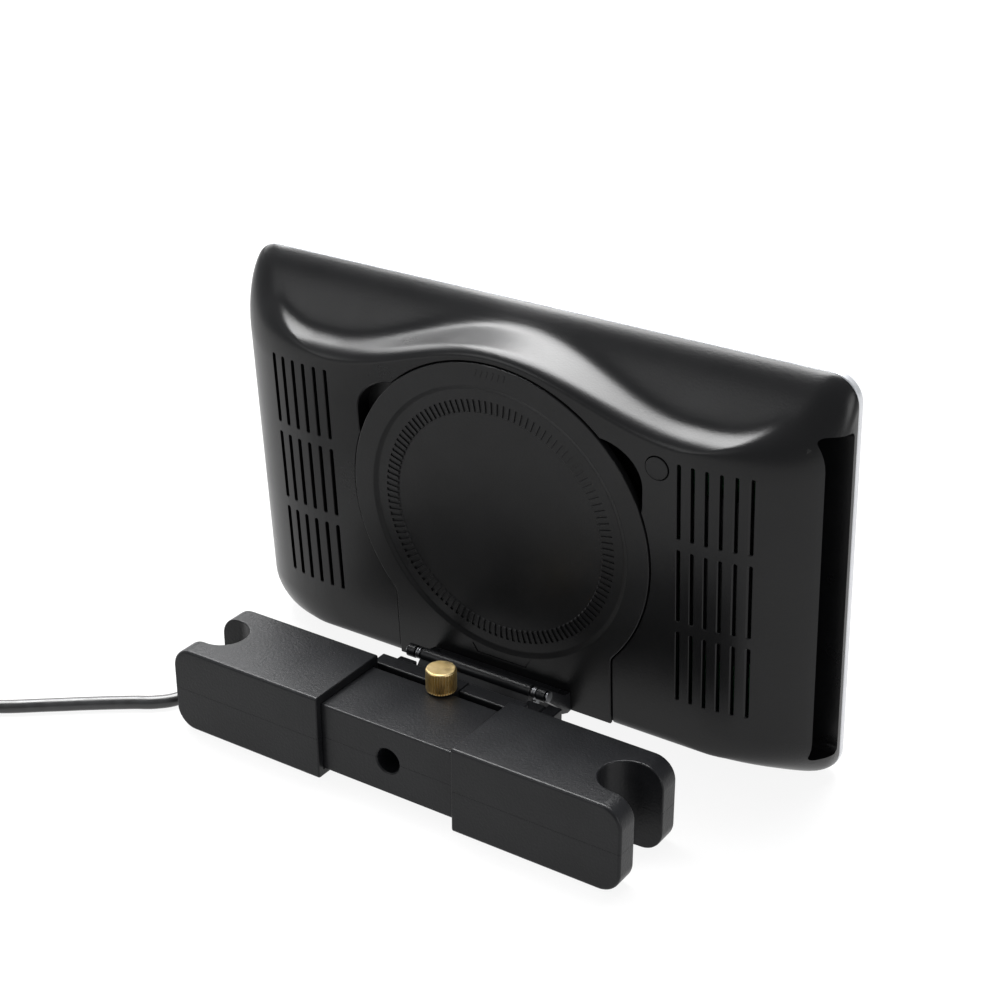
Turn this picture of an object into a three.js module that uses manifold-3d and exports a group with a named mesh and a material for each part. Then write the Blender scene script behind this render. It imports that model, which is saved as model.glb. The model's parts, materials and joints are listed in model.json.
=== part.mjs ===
// Headrest monitor with its telescopic post bracket: a flat screen housing with a disc lid on its back,
// a tilt hinge, and a bracket whose two sleeves reach out to the posts of a car headrest.
// Millimetres, +Z up. The bracket and the lid are on the -Y side, the screen faces +Y, +X is to the right.
// The origin is on the ground, in the middle of the object's footprint.
import * as THREE from 'three';
import { mergeVertices } from 'three/addons/utils/BufferGeometryUtils.js';
import Module from 'manifold-3d';

const wasm = await Module();
wasm.setup();

// ---------------------------------------------------------------- driving dimensions
const GAP = 0.3; // between faces that touch
const ROUND = 16; // facets of a small round part
const FINE = 48; // facets of a large round part

const FRONT_Y = -53; // front face of the sleeves
const SLEEVE = {
  inner: 28, outer: 93, depth: 36, height: 32.7, wall: 2.5, roof: 3.2, hollowEnd: 66, round: 3, end: 8,
};
const NOTCH = { apex: 75, width: 18.4 };
const SEAM_Z = 16.3; // the parting line between upper and lower halves
const BEAM = { half: 45.5, front: -50.2, back: -20, low: 2.9, top: 29.2, wall: 2.4 };
const KNOB = { x: 1, y: -19.5, radius: 5.5, low: 29.5, top: 38, stud: 2.4, studLow: 15.4 };
const WEB = { x0: -4.4, x1: 6.4, low: 24.4, back: -10.3 };
const RAIL = { half: 31, front: -16.7, back: -10, low: 3, top: 28.9 };
const LEAF = { half: 34, low: 17, top: 20, back: 0.2, neck: 23.5 };
const TILT = { y: 4, z: 24, radius: 3, pin: 1.5, bore: 1.58 };
const KNUCKLE = { inner: 26.3, outer: 29.5 };

const LEAN = THREE.MathUtils.degToRad(3.75); // the housing leans towards the bracket
const HOUSING_Y = 21.94; // where the lid side of the housing meets the ground plane
const HOUSING = { half: 122, low: -2, top: 152, corner: 10, thick: 31, shell: 27 };
const SKIN = 2.2;
const LID = { h: 78, radius: 61.5, foot: 46, low: 9.5, out: -0.6, inside: 2.4, clear: 0.4 };
const LID_HINGE = { d: 2.4, h: 12.4, radius: 2.8, pin: 1.2, bore: 1.28, floor: 6.2, ear: 49.5 };
const TRAY = { floor: 10.2, thick: 1.6, wall: 1.6 };
const SCOOP = { x0: 36, x1: 58.5, low: 96, top: 125, round: 9, floor: 7, wall: 1.1 };
const SLOTS = {
  first: 72.3, pitch: 5.1, columns: 6, width: 1.4, low: 28.9, length: 27.9, step: 32.1, rows: 3,
};
const BUTTON = { x: 64.3, h: 117.7, radius: 4.1, hole: 4.4 };
const BAY = { x: 109, d0: 13.8, d1: 24.6, low: 10, top: 135, wall: 1.8 };
const WINDOW = { half: 100, low: 24, top: 138 };
const KEYS = { first: 40, pitch: 15, h: 12, radius: 2.6, hole: 2.9 };

const CORD_RADIUS = 2.5;
const CORD_EXIT = [-13.2, 9.6]; // Y and Z, at the left end of the rail
const COIL = { x: -165, y: -132, inner: 15.5, outer: 39, top: 10.2 };

// ---------------------------------------------------------------- materials
function paint(color, roughness, metalness = 0) {
  return new THREE.MeshStandardMaterial({ color, roughness, metalness });
}
const MATERIALS = {
  bracket: () => paint(0x17181b, 0.55),
  housing: () => paint(0x101114, 0.35),
  lid: () => paint(0x131416, 0.5),
  silver: () => paint(0xc9ccd0, 0.3, 0.8),
  brass: () => paint(0xb98a35, 0.3, 1),
  steel: () => paint(0x8d9095, 0.35, 1),
  glass: () => paint(0x050608, 0.05),
  panel: () => paint(0x1b1d22, 0.4),
  board: () => paint(0x1c4a2c, 0.6),
  cord: () => paint(0x0c0c0d, 0.5),
};

// ---------------------------------------------------------------- solids
function solid(geometry) {
  const bare = geometry.clone();
  for (const name of Object.keys(bare.attributes)) if (name !== 'position') bare.deleteAttribute(name);
  const merged = mergeVertices(bare, 1e-4);
  const triVerts = Uint32Array.from(merged.index.array);
  const vertProperties = Float32Array.from(merged.attributes.position.array);
  return new wasm.Manifold(new wasm.Mesh({ numProp: 3, vertProperties, triVerts }));
}

function geometryOf(body) {
  const mesh = body.getMesh();
  const geometry = new THREE.BufferGeometry();
  geometry.setAttribute('position', new THREE.BufferAttribute(Float32Array.from(mesh.vertProperties), 3));
  geometry.setIndex(new THREE.BufferAttribute(Uint32Array.from(mesh.triVerts), 1));
  return geometry;
}

const join = (...bodies) => bodies.reduce((sum, body) => sum.add(body));
const cut = (body, ...tools) => tools.reduce((rest, tool) => rest.subtract(tool), body);

function block(x, y, z) {
  const box = new THREE.BoxGeometry(x[1] - x[0], y[1] - y[0], z[1] - z[0]);
  box.translate((x[0] + x[1]) / 2, (y[0] + y[1]) / 2, (z[0] + z[1]) / 2);
  return solid(box);
}

// A cylinder from one value of its axis to the other; centre is its two other coordinates in X, Y, Z order.
function rod(axis, radius, span, centre, facets = ROUND, endRadius = radius) {
  const cylinder = new THREE.CylinderGeometry(endRadius, radius, span[1] - span[0], facets);
  const middle = (span[0] + span[1]) / 2;
  if (axis === 'x') cylinder.rotateZ(-Math.PI / 2).translate(middle, centre[0], centre[1]);
  if (axis === 'y') cylinder.translate(centre[0], middle, centre[1]);
  if (axis === 'z') cylinder.rotateX(Math.PI / 2).translate(centre[0], centre[1], middle);
  return solid(cylinder);
}

const outline = (points) => new THREE.Shape(points.map(([a, b]) => new THREE.Vector2(a, b)));

function extrude(shape, length, curveSegments = 8) {
  return new THREE.ExtrudeGeometry(shape, { depth: length, bevelEnabled: false, curveSegments });
}

// Prisms: an X-Y outline along Z, an X-Z outline along Y, and a Y-Z outline along X.
const prismZ = (shape, z, segments) => solid(extrude(shape, z[1] - z[0], segments).translate(0, 0, z[0]));
function prismY(shape, y, segments) {
  return solid(extrude(shape, y[1] - y[0], segments).rotateX(Math.PI / 2).translate(0, y[1], 0));
}
function prismX(shape, x, segments) {
  const turned = extrude(shape, x[1] - x[0], segments).rotateY(Math.PI / 2).rotateX(Math.PI / 2);
  return solid(turned.translate(x[0], 0, 0));
}

function roundedRect(x0, x1, y0, y1, r) {
  const shape = new THREE.Shape();
  shape.moveTo(x0 + r, y0).lineTo(x1 - r, y0).absarc(x1 - r, y0 + r, r, -Math.PI / 2, 0, false);
  shape.lineTo(x1, y1 - r).absarc(x1 - r, y1 - r, r, 0, Math.PI / 2, false);
  shape.lineTo(x0 + r, y1).absarc(x0 + r, y1 - r, r, Math.PI / 2, Math.PI, false);
  return shape.lineTo(x0, y0 + r).absarc(x0 + r, y0 + r, r, Math.PI, 1.5 * Math.PI, false);
}

const parts = new THREE.Group();
const housing = new THREE.Group(); // its own X, depth from the lid side (Y) and height up the housing (Z)
housing.position.set(0, HOUSING_Y, 0);
housing.rotation.x = LEAN;
parts.add(housing);

function add(group, name, material, body) {
  const mesh = new THREE.Mesh(geometryOf(body), MATERIALS[material]());
  mesh.name = name;
  group.add(mesh);
}

// The tilt axis in the housing's own depth and height.
const tiltInHousing = {
  d: (TILT.y - HOUSING_Y) * Math.cos(LEAN) + TILT.z * Math.sin(LEAN),
  h: -(TILT.y - HOUSING_Y) * Math.sin(LEAN) + TILT.z * Math.cos(LEAN),
};

// ---------------------------------------------------------------- bracket: sleeves
function sleevePlan(side) {
  const back = FRONT_Y + SLEEVE.depth;
  const { inner, outer, round: r } = SLEEVE;
  const shape = new THREE.Shape();
  shape.moveTo(inner, FRONT_Y).lineTo(outer - r, FRONT_Y);
  shape.absarc(outer - r, FRONT_Y + r, r, -Math.PI / 2, 0, false);
  shape.lineTo(outer, back - r).absarc(outer - r, back - r, r, 0, Math.PI / 2, false).lineTo(inner, back);
  // Its inner end is at X = 0, inside the beam, so only its outer end rounds the sleeve.
  const elevation = roundedRect(0, outer, 0, SLEEVE.height, SLEEVE.end);
  const rounding = prismY(elevation, [FRONT_Y - 1, back + 1], 5);
  const whole = prismZ(shape, [0, SLEEVE.height], 4).intersect(rounding);
  return side < 0 ? whole.mirror([1, 0, 0]) : whole;
}

function notchPlan(side) {
  const r = NOTCH.width / 2;
  const y = FRONT_Y + SLEEVE.depth / 2;
  const shape = new THREE.Shape();
  shape.moveTo(SLEEVE.outer + 5, y + r).lineTo(NOTCH.apex + r, y + r);
  shape.absarc(NOTCH.apex + r, y, r, Math.PI / 2, 1.5 * Math.PI, false).lineTo(SLEEVE.outer + 5, y - r);
  const whole = prismZ(shape, [-1, SLEEVE.height + 1], 7);
  return side < 0 ? whole.mirror([1, 0, 0]) : whole;
}

const span = (side, a, b) => (side > 0 ? [a, b] : [-b, -a]);
const sleeveScrewPlaces = (side) => [FRONT_Y + 7, FRONT_Y + SLEEVE.depth - 7].map((y) => [side * 70.2, y]);

function sleeve(side) {
  const hollow = block(
    span(side, SLEEVE.inner - 1, SLEEVE.hollowEnd),
    [FRONT_Y + SLEEVE.wall, FRONT_Y + SLEEVE.depth - SLEEVE.wall - 0.1],
    [BEAM.low - GAP, SLEEVE.height - SLEEVE.roof],
  );
  const body = cut(sleevePlan(side), notchPlan(side), hollow);
  const bores = sleeveScrewPlaces(side).flatMap((place) => [
    rod('z', 1.7, [-1, 24], place, 12),
    rod('z', 2.9, [-1, 2.8], place, 16),
  ]);
  return cut(body, ...bores);
}

function addSleeve(side, word) {
  const whole = sleeve(side);
  const everywhere = [-200, 200];
  const above = block(everywhere, everywhere, [SEAM_Z - GAP / 2, 60]);
  const below = block(everywhere, everywhere, [-5, SEAM_Z + GAP / 2]);
  add(parts, `${word}_sleeve_lower`, 'bracket', cut(whole, above));
  add(parts, `${word}_sleeve_upper`, 'bracket', cut(whole, below));
  sleeveScrewPlaces(side).forEach((place, i) => {
    const screw = join(rod('z', 1.4, [2.4, 22], place, 12), rod('z', 2.6, [0.6, 2.5], place, 16));
    add(parts, `${word}_sleeve_screw_${i + 1}`, 'steel', screw);
  });
}

// ---------------------------------------------------------------- bracket: beam between the sleeves
const blockScrewPlaces = [[-20, -35], [22, -35]];
const hiddenScrew = { y: -38, head: 3.4, bore: 4.7, z: 16.15 };

function beamHalf(isUpper) {
  const z = isUpper ? [SEAM_Z, BEAM.top] : [BEAM.low, SEAM_Z - GAP];
  const w = BEAM.wall;
  const inside = isUpper ? [SEAM_Z - 1, BEAM.top - w] : [BEAM.low + w, SEAM_Z + 1];
  let body = block([-BEAM.half, BEAM.half], [BEAM.front, BEAM.back], z);
  body = cut(body, block([-BEAM.half + w, BEAM.half - w], [BEAM.front + w, BEAM.back - w], inside));
  const tube = rod('y', hiddenScrew.bore + 1.6, [BEAM.front + 0.5, hiddenScrew.y + 2.5], [0, hiddenScrew.z]);
  body = join(body, tube.intersect(block([-20, 20], [-60, 0], z)));
  for (const place of blockScrewPlaces) body = join(body, rod('z', 3.6, [z[0], z[1]], place, 16));
  if (isUpper) {
    const web = block([WEB.x0, WEB.x1], [BEAM.back - 1, WEB.back], [WEB.low, BEAM.top]);
    body = cut(join(body, web), rod('z', KNOB.stud + 0.35, [20, 32], [KNOB.x, KNOB.y]));
  }
  const tongueWindow = block([WEB.x0, WEB.x1], [-30, BEAM.back + 1], [13.4, WEB.low]);
  const recess = rod('y', hiddenScrew.bore, [BEAM.front - 1, hiddenScrew.y], [0, hiddenScrew.z]);
  const shankHole = rod('y', 1.9, [hiddenScrew.y - 1, hiddenScrew.y + 4], [0, hiddenScrew.z]);
  const bores = blockScrewPlaces.flatMap((place) => [
    rod('z', 1.7, [0, 24], place, 12),
    rod('z', 2.9, [0, 5.2], place, 16),
  ]);
  return cut(body, tongueWindow, recess, shankHole, ...bores);
}

function addBeam() {
  add(parts, 'block_lower', 'bracket', beamHalf(false));
  add(parts, 'block_upper', 'bracket', beamHalf(true));
  blockScrewPlaces.forEach((place, i) => {
    const screw = join(rod('z', 1.4, [4.8, 22], place, 12), rod('z', 2.6, [3.1, 4.9], place, 16));
    add(parts, `block_screw_${i + 1}`, 'steel', screw);
  });
  const head = rod('y', hiddenScrew.head, [hiddenScrew.y - 2.8, hiddenScrew.y - GAP], [0, hiddenScrew.z]);
  const shank = rod('y', 1.5, [hiddenScrew.y - 0.5, -24], [0, hiddenScrew.z], 12);
  const socket = rod('y', 1.5, [hiddenScrew.y - 4, hiddenScrew.y - 1.6], [0, hiddenScrew.z], 6);
  add(parts, 'carrier_screw', 'steel', cut(join(head, shank), socket));
}

// ---------------------------------------------------------------- bracket: hinge carrier and thumb screw
function addCarrier() {
  const rail = block([-RAIL.half, RAIL.half], [RAIL.front, RAIL.back], [RAIL.low, RAIL.top]);
  const pocket = block([WEB.x0 - GAP, WEB.x1 + GAP], [-30, 0], [WEB.low - GAP, 40]);
  const tongue = block([-4, 6], [-26.5, RAIL.front + 1], [14, WEB.low - GAP]);
  const leafPlan = outline([
    [-LEAF.half, RAIL.back - 1], [LEAF.half, RAIL.back - 1], [LEAF.half, -4],
    [LEAF.half - 4, LEAF.back], [-LEAF.half + 4, LEAF.back], [-LEAF.half, -4],
  ]);
  const neck = outline([
    [-5, LEAF.low], [1.2, LEAF.low], [5.2, 21.4], [1.4, 22.6], [-1, LEAF.top], [-5, LEAF.top],
  ]);
  const barrel = rod('x', TILT.radius, [-LEAF.neck, LEAF.neck], [TILT.y, TILT.z]);
  const leaf = join(prismZ(leafPlan, [LEAF.low, LEAF.top]), prismX(neck, [-LEAF.neck, LEAF.neck]));
  const body = join(cut(rail, pocket), tongue, leaf, barrel);
  const pinBore = rod('x', TILT.bore, [-40, 40], [TILT.y, TILT.z]);
  const insertSeat = rod('z', 3.6, [14.9, 30], [KNOB.x, KNOB.y]);
  const screwHole = rod('y', 1.8, [-30, -23.5], [0, hiddenScrew.z], 12);
  const glandSeat = rod('x', 2.6, [-40, -RAIL.half + 4], CORD_EXIT, 16);
  add(parts, 'hinge_carrier', 'bracket', cut(body, pinBore, insertSeat, screwHole, glandSeat));

  const insert = rod('z', 3.3, [15.2, 23.8], [KNOB.x, KNOB.y]);
  const thread = rod('z', KNOB.stud + 0.15, [10, 30], [KNOB.x, KNOB.y]);
  add(parts, 'thread_insert', 'brass', cut(insert, thread));

  const stud = rod('z', KNOB.stud, [KNOB.studLow, KNOB.low + 1], [KNOB.x, KNOB.y]);
  const knob = rod('z', KNOB.radius, [KNOB.low, KNOB.top - 0.6], [KNOB.x, KNOB.y], 24);
  const crown = rod('z', KNOB.radius, [KNOB.top - 0.6, KNOB.top], [KNOB.x, KNOB.y], 24, KNOB.radius - 0.6);
  add(parts, 'thumb_screw', 'brass', join(stud, knob, crown));
}

// ---------------------------------------------------------------- tilt hinge on the lid
function addMountArm() {
  const { d, h } = tiltInHousing;
  const cheek = outline([
    [d - 2.1, h - 2.1], [d + 0.5, h - 3], [-3, 9.8], [-0.9, 9.8], [-0.9, 17.5], [-5, 18.6], [d + 1.8, h + 2.4],
  ]);
  const plate = outline([
    [-6.4, 11.4], [-3, 9.8], [-0.9, 9.8], [-0.9, 17.5], [-5.2, 18], [-6.4, 16.4],
  ]);
  const cheeks = [-1, 1].map((side) => {
    const x = span(side, KNUCKLE.inner, KNUCKLE.outer);
    return join(prismX(cheek, x), rod('x', TILT.radius, x, [d, h]));
  });
  const body = join(...cheeks, prismX(plate, [-KNUCKLE.outer, KNUCKLE.outer]));
  const pinBore = rod('x', TILT.pin + GAP, [-40, 40], [d, h]);
  const screwHoles = [-18, 18].map((x) => rod('y', 1.7, [-10, 3], [x, 14.6], 12));
  add(housing, 'mount_arm', 'bracket', cut(body, pinBore, ...screwHoles));
  const pin = join(
    rod('x', TILT.pin, [-30.4, 30], [d, h]),
    rod('x', 2.4, [29.8, 30.8], [d, h], 16),
  );
  add(housing, 'tilt_pin', 'steel', pin);
  [['left', -1], ['right', 1]].forEach(([word, side]) => {
    const ring = rod('x', 2.7, span(side, 24, 25.8), [d, h]);
    const hole = rod('x', TILT.pin + GAP, [-40, 40], [d, h]);
    add(housing, `friction_ring_${word}`, 'steel', cut(ring, hole));
  });
  [-18, 18].forEach((x, i) => {
    const screw = join(rod('y', 1.35, [-6.8, 1.6], [x, 14.6], 12), rod('y', 2.6, [-8.3, -6.7], [x, 14.6], 16));
    add(housing, `arm_screw_${i + 1}`, 'steel', screw);
  });
}

// ---------------------------------------------------------------- disc lid, shaped like a keyhole
function lidShape(grow) {
  const r = LID.radius + grow;
  const foot = LID.foot + grow;
  const turn = Math.acos(foot / r);
  const shape = new THREE.Shape();
  shape.moveTo(-foot, LID.low - grow).lineTo(foot, LID.low - grow).lineTo(foot, LID.h - r * Math.sin(turn));
  return shape.absarc(0, LID.h, r, -turn, Math.PI + turn, false);
}

function addLid() {
  const plate = prismY(lidShape(0), [LID.out, LID.inside], FINE);
  const barrel = rod('x', LID_HINGE.radius, [-LID.foot, LID.foot], [LID_HINGE.d, LID_HINGE.h]);
  const centring = cut(
    rod('y', 10.5, [LID.inside - 0.5, LID.inside + 0.9], [0, LID.h]),
    rod('y', 8.6, [LID.inside, LID.inside + 3], [0, LID.h]),
  );
  const bore = rod('x', LID_HINGE.bore, [-60, 60], [LID_HINGE.d, LID_HINGE.h]);
  const screwHoles = [-18, 18].map((x) => rod('y', 1.65, [-3, 1.9], [x, 14.6], 12));
  const lower = cut(plate, block([-60, 60], [0.6, 5], [0, 13]));
  const body = join(lower, barrel, centring);
  add(housing, 'disc_lid', 'lid', cut(body, bore, ...screwHoles));
  add(housing, 'lid_pin', 'steel', rod('x', LID_HINGE.pin, [-LID_HINGE.ear + 0.5, LID_HINGE.ear - 0.5],
    [LID_HINGE.d, LID_HINGE.h]));
}

// ---------------------------------------------------------------- housing: back shell
const bump = (x) => (Math.abs(x) < 74 ? 0.5 + 0.5 * Math.cos((Math.PI * x) / 74) : 0);

// Half the housing's width at depth d: a flat middle that rounds off towards the rim.
function halfWidth(d) {
  const rest = 1 - Math.min(Math.max(d, 0), 25) / 25;
  return 78 + (HOUSING.half - 78) * Math.sqrt(1 - rest * rest);
}

// Top edge: the shoulder over the lid runs into the slanted band below the rim.
function topEdge(x, d) {
  const swell = bump(x);
  const side = Math.max(0, (Math.abs(x) - 80) / 20);
  const shoulder = 127.6 + 16.2 * swell + 4 * side * side + (0.36 - 0.26 * swell) * d - 1.5 * Math.exp(-d);
  const below = HOUSING.shell - 4 - d; // how far in front of the rim's flat the band has got
  const band = HOUSING.top - 1.75 * (below + Math.hypot(below, 3)) / 2;
  return Math.max(shoulder, band);
}

function bottomEdge(d) {
  if (d < 3) return 13 - 4.5 * Math.sqrt(1 - (1 - d / 3) ** 2);
  return Math.max(HOUSING.low, 8.5 - 0.5 * (d - 3));
}

const CORNER_STEPS = 4;
const TOP_STEPS = 24;

function housingRing(d, inset) {
  const w = halfWidth(d) - inset;
  const r = Math.min(HOUSING.corner, 5 + d / 5) - inset * 0.5;
  const low = bottomEdge(d) + inset;
  const corner = (cx, cy, from) => Array.from({ length: CORNER_STEPS + 1 }, (_, i) => {
    const a = from + (i / CORNER_STEPS) * (Math.PI / 2);
    return [cx + r * Math.cos(a), cy + r * Math.sin(a)];
  });
  const shoulderAt = topEdge(w - r, d) - inset;
  const top = Array.from({ length: TOP_STEPS - 1 }, (_, i) => {
    const x = (w - r) * (1 - (2 * (i + 1)) / TOP_STEPS);
    return [x, topEdge(x, d) - inset];
  });
  return [
    ...corner(-w + r, low + r, Math.PI), ...corner(w - r, low + r, 1.5 * Math.PI),
    ...corner(w - r, shoulderAt - r, 0), ...top, ...corner(-w + r, shoulderAt - r, Math.PI / 2),
  ];
}

// A solid through rings of equal length, each in the X-Z plane at its own depth, with a fan at both ends.
function loft(rings) {
  const count = rings[0].points.length;
  const positions = rings.flatMap(({ y, points }) => points.flatMap(([x, z]) => [x, y, z]));
  const faces = [];
  for (let k = 0; k + 1 < rings.length; k++) {
    for (let i = 0; i < count; i++) {
      const a = k * count + i;
      const b = k * count + ((i + 1) % count);
      faces.push(a, b + count, b, a, a + count, b + count);
    }
  }
  const cap = (k, flip) => {
    const centre = positions.length / 3;
    positions.push(0, rings[k].y, HOUSING.top / 2);
    for (let i = 0; i < count; i++) {
      const a = k * count + i;
      const b = k * count + ((i + 1) % count);
      faces.push(...(flip ? [centre, b, a] : [centre, a, b]));
    }
  };
  cap(0, false);
  cap(rings.length - 1, true);
  const geometry = new THREE.BufferGeometry();
  geometry.setAttribute('position', new THREE.Float32BufferAttribute(positions, 3));
  geometry.setIndex(faces);
  return solid(geometry);
}

const DEPTHS = [0, 1.2, 3, 6, 10, 14, 18, 22, 27];

function housingBody() {
  return loft(DEPTHS.map((d) => ({ y: d, points: housingRing(d, 0) })));
}

function housingHollow() {
  const rings = DEPTHS.slice(1).map((d) => ({ y: d + SKIN - 0.4, points: housingRing(d, SKIN) }));
  return loft([...rings, { y: HOUSING.shell + 6, points: housingRing(HOUSING.shell, SKIN) }]);
}

function slotTools() {
  const tools = [];
  for (const side of [-1, 1]) {
    for (let column = 0; column < SLOTS.columns; column++) {
      for (let row = 0; row < SLOTS.rows; row++) {
        const x = side * (SLOTS.first + column * SLOTS.pitch);
        const low = SLOTS.low + row * SLOTS.step;
        const reach = column < 3 ? 3.4 : 7;
        tools.push(block([x - SLOTS.width / 2, x + SLOTS.width / 2], [-2, reach], [low, low + SLOTS.length]));
      }
    }
  }
  return tools;
}

function scoopTool(side, grow, y) {
  const x = span(side, SCOOP.x0 - grow, SCOOP.x1 + grow);
  const shape = roundedRect(x[0], x[1], SCOOP.low - grow, SCOOP.top + grow, SCOOP.round + grow);
  return prismY(shape, y, 5);
}

function addBackShell() {
  const outer = housingBody();
  let body = cut(outer, housingHollow());
  const bayDepth = [BAY.d0 - BAY.wall, BAY.d1 + BAY.wall];
  const bayCup = block([BAY.x - BAY.wall, 130], bayDepth, [BAY.low - BAY.wall, BAY.top + BAY.wall]);
  const ring = rod('y', LID.radius + LID.clear + 1.8, [1, 5.5], [0, LID.h], FINE);
  const footFloor = block([-50.5, 50.5], [1, LID_HINGE.floor + 1.8], [-2, 36]);
  const scoopCups = [-1, 1].map((side) => scoopTool(side, SCOOP.wall, [1, SCOOP.floor + 1.6]));
  body = join(body, join(bayCup, ring, footFloor, ...scoopCups).intersect(outer));
  const lidSeat = prismY(lidShape(LID.clear), [-2, LID_HINGE.floor - 3.4], FINE);
  const barrelSeat = rod('x', 3.6, [-LID.foot - 5, LID.foot + 5], [LID_HINGE.d, LID_HINGE.h]);
  const footSeat = block([-LID.foot - 0.4, LID.foot + 0.4], [-2, LID_HINGE.floor], [-8, 34]);
  const trayHole = rod('y', LID.radius + LID.clear, [-3, 12], [0, LID.h], FINE);
  const bay = block([BAY.x, 135], [BAY.d0, BAY.d1], [BAY.low, BAY.top]);
  const portWindow = block([BAY.x - 4, BAY.x + 1], [15.4, 23], [34, 116]);
  const buttonHole = rod('y', BUTTON.hole, [-2, 8], [BUTTON.x, BUTTON.h]);
  const pinHole = rod('x', LID_HINGE.pin + GAP, [-LID_HINGE.ear, LID_HINGE.ear], [LID_HINGE.d, LID_HINGE.h]);
  const scoops = [-1, 1].map((side) => scoopTool(side, 0, [-2, SCOOP.floor]));
  body = cut(body, lidSeat, footSeat, barrelSeat, trayHole, bay, portWindow, buttonHole, pinHole);
  body = cut(body, ...scoops, ...slotTools());
  add(housing, 'back_shell', 'housing', body);
}

// ---------------------------------------------------------------- disc drive
function addDrive() {
  const r = LID.radius + LID.clear - GAP;
  const cup = cut(
    rod('y', r, [2.9, TRAY.floor + TRAY.thick], [0, LID.h], FINE),
    rod('y', r - TRAY.wall, [2, TRAY.floor], [0, LID.h], FINE),
  );
  const footClear = block([-LID.foot - 1, LID.foot + 1], [0, LID_HINGE.floor + 2.1], [-5, 36.5]);
  const scoopClear = [-1, 1].map((side) => scoopTool(side, SCOOP.wall + GAP, [0, SCOOP.floor + 2]));
  const shaftHole = rod('y', 2.3, [5, 15], [0, LID.h]);
  const sledSlot = block([-9, 9], [5, 15], [33.5, 68]);
  add(housing, 'disc_tray', 'lid', cut(cup, footClear, shaftHole, sledSlot, ...scoopClear));
  const motor = cut(rod('y', 9, [12.1, 14.4], [0, LID.h + 3]), rod('y', 2, [8, 20], [0, LID.h]));
  add(housing, 'spindle_motor', 'steel', motor);
  const hub = join(rod('y', 7.3, [4.6, 6.2], [0, LID.h]), rod('y', 12, [6.2, 7.6], [0, LID.h], ROUND));
  add(housing, 'spindle_hub', 'steel', join(hub, rod('y', 1.5, [7, 13.6], [0, LID.h])));
  const sled = join(
    block([-8.4, 8.4], [8.4, 12.6], [54, 64.5]),
    rod('y', 3, [7.4, 9], [0, 59.5]),
  );
  add(housing, 'laser_sled', 'steel', sled);
  [['left', -1], ['right', 1]].forEach(([word, side]) => {
    add(housing, `sled_rail_${word}`, 'steel', rod('z', 1.1, [32, 67], [side * 10, 13.4], 12));
  });
}

// ---------------------------------------------------------------- screen side
function frameRing(inset, y) {
  const half = HOUSING.half - inset;
  const shape = roundedRect(-half, half, HOUSING.low + inset, HOUSING.top - inset, HOUSING.corner - inset);
  return prismY(shape, y, CORNER_STEPS);
}

const keyPlaces = Array.from({ length: 4 }, (_, i) => KEYS.first + i * KEYS.pitch);
const KEY_NAMES = ['power', 'source', 'volume_down', 'volume_up'];

function addScreenSide() {
  const trim = cut(frameRing(0, [HOUSING.shell + GAP, HOUSING.thick]), frameRing(2.5, [20, 40]));
  add(housing, 'silver_trim', 'silver', trim);
  const bezel = cut(
    frameRing(2.8, [28.6, HOUSING.thick]),
    block([-WINDOW.half, WINDOW.half], [20, 40], [WINDOW.low, WINDOW.top]),
    ...keyPlaces.map((x) => rod('y', KEYS.hole, [20, 40], [x, KEYS.h])),
  );
  add(housing, 'front_bezel', 'housing', bezel);
  const inner = WINDOW.half - GAP;
  const glass = block([-inner, inner], [29.4, HOUSING.thick - 0.3], [WINDOW.low + GAP, WINDOW.top - GAP]);
  add(housing, 'screen_glass', 'glass', glass);
  add(housing, 'lcd_panel', 'panel', block([-99, 99], [22, 29.1], [WINDOW.low + 1, WINDOW.top - 1]));
  add(housing, 'main_board', 'board', block([-92, 98], [15.6, 17.2], [16, 124]));
  keyPlaces.forEach((x, i) => {
    add(housing, `${KEY_NAMES[i]}_key`, 'housing', rod('y', KEYS.radius, [27.4, 31.6], [x, KEYS.h]));
  });
}

function addSpeakers() {
  [['left', -1], ['right', 1]].forEach(([word, side]) => {
    const frame = prismY(roundedRect(...span(side, 72, 100), 44, 108, 12), [8.2, 10.4], 5);
    const magnet = rod('y', 11, [10, 15], [side * 86, 76]);
    add(housing, `speaker_${word}`, 'panel', join(frame, magnet));
  });
}

const JACK_D = 19.2;

function addPorts() {
  const x = [104.9, BAY.x - BAY.wall - GAP];
  const sockets = [
    { name: 'usb_socket', d: [16.2, 22.4], h: [96, 109.5] },
    { name: 'card_socket', d: [17.5, 21.1], h: [60, 86] },
  ];
  const jacks = [{ name: 'audio_jack', h: 46 }, { name: 'video_jack', h: 38 }];
  const plate = block(x, [14.6, 24], [30, 120]);
  const holes = [
    ...sockets.map(({ d, h }) => block([100, 112], [d[0] - GAP, d[1] + GAP], [h[0] - GAP, h[1] + GAP])),
    ...jacks.map(({ h }) => rod('x', 3.4, [100, 112], [JACK_D, h])),
  ];
  add(housing, 'port_plate', 'housing', cut(plate, ...holes));
  sockets.forEach(({ name, d, h }) => {
    const mouth = block([103, 112], [d[0] + 0.8, d[1] - 0.8], [h[0] + 0.8, h[1] - 0.8]);
    add(housing, name, 'steel', cut(block([100, 108.6], d, h), mouth));
  });
  jacks.forEach(({ name, h }) => {
    const barrel = rod('x', 3.1, [100, 108.6], [JACK_D, h]);
    add(housing, name, 'panel', cut(barrel, rod('x', 1.8, [102, 112], [JACK_D, h])));
  });
}

function addReleaseButton() {
  add(housing, 'release_button', 'lid', rod('y', BUTTON.radius, [-0.5, 5], [BUTTON.x, BUTTON.h]));
}

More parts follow.
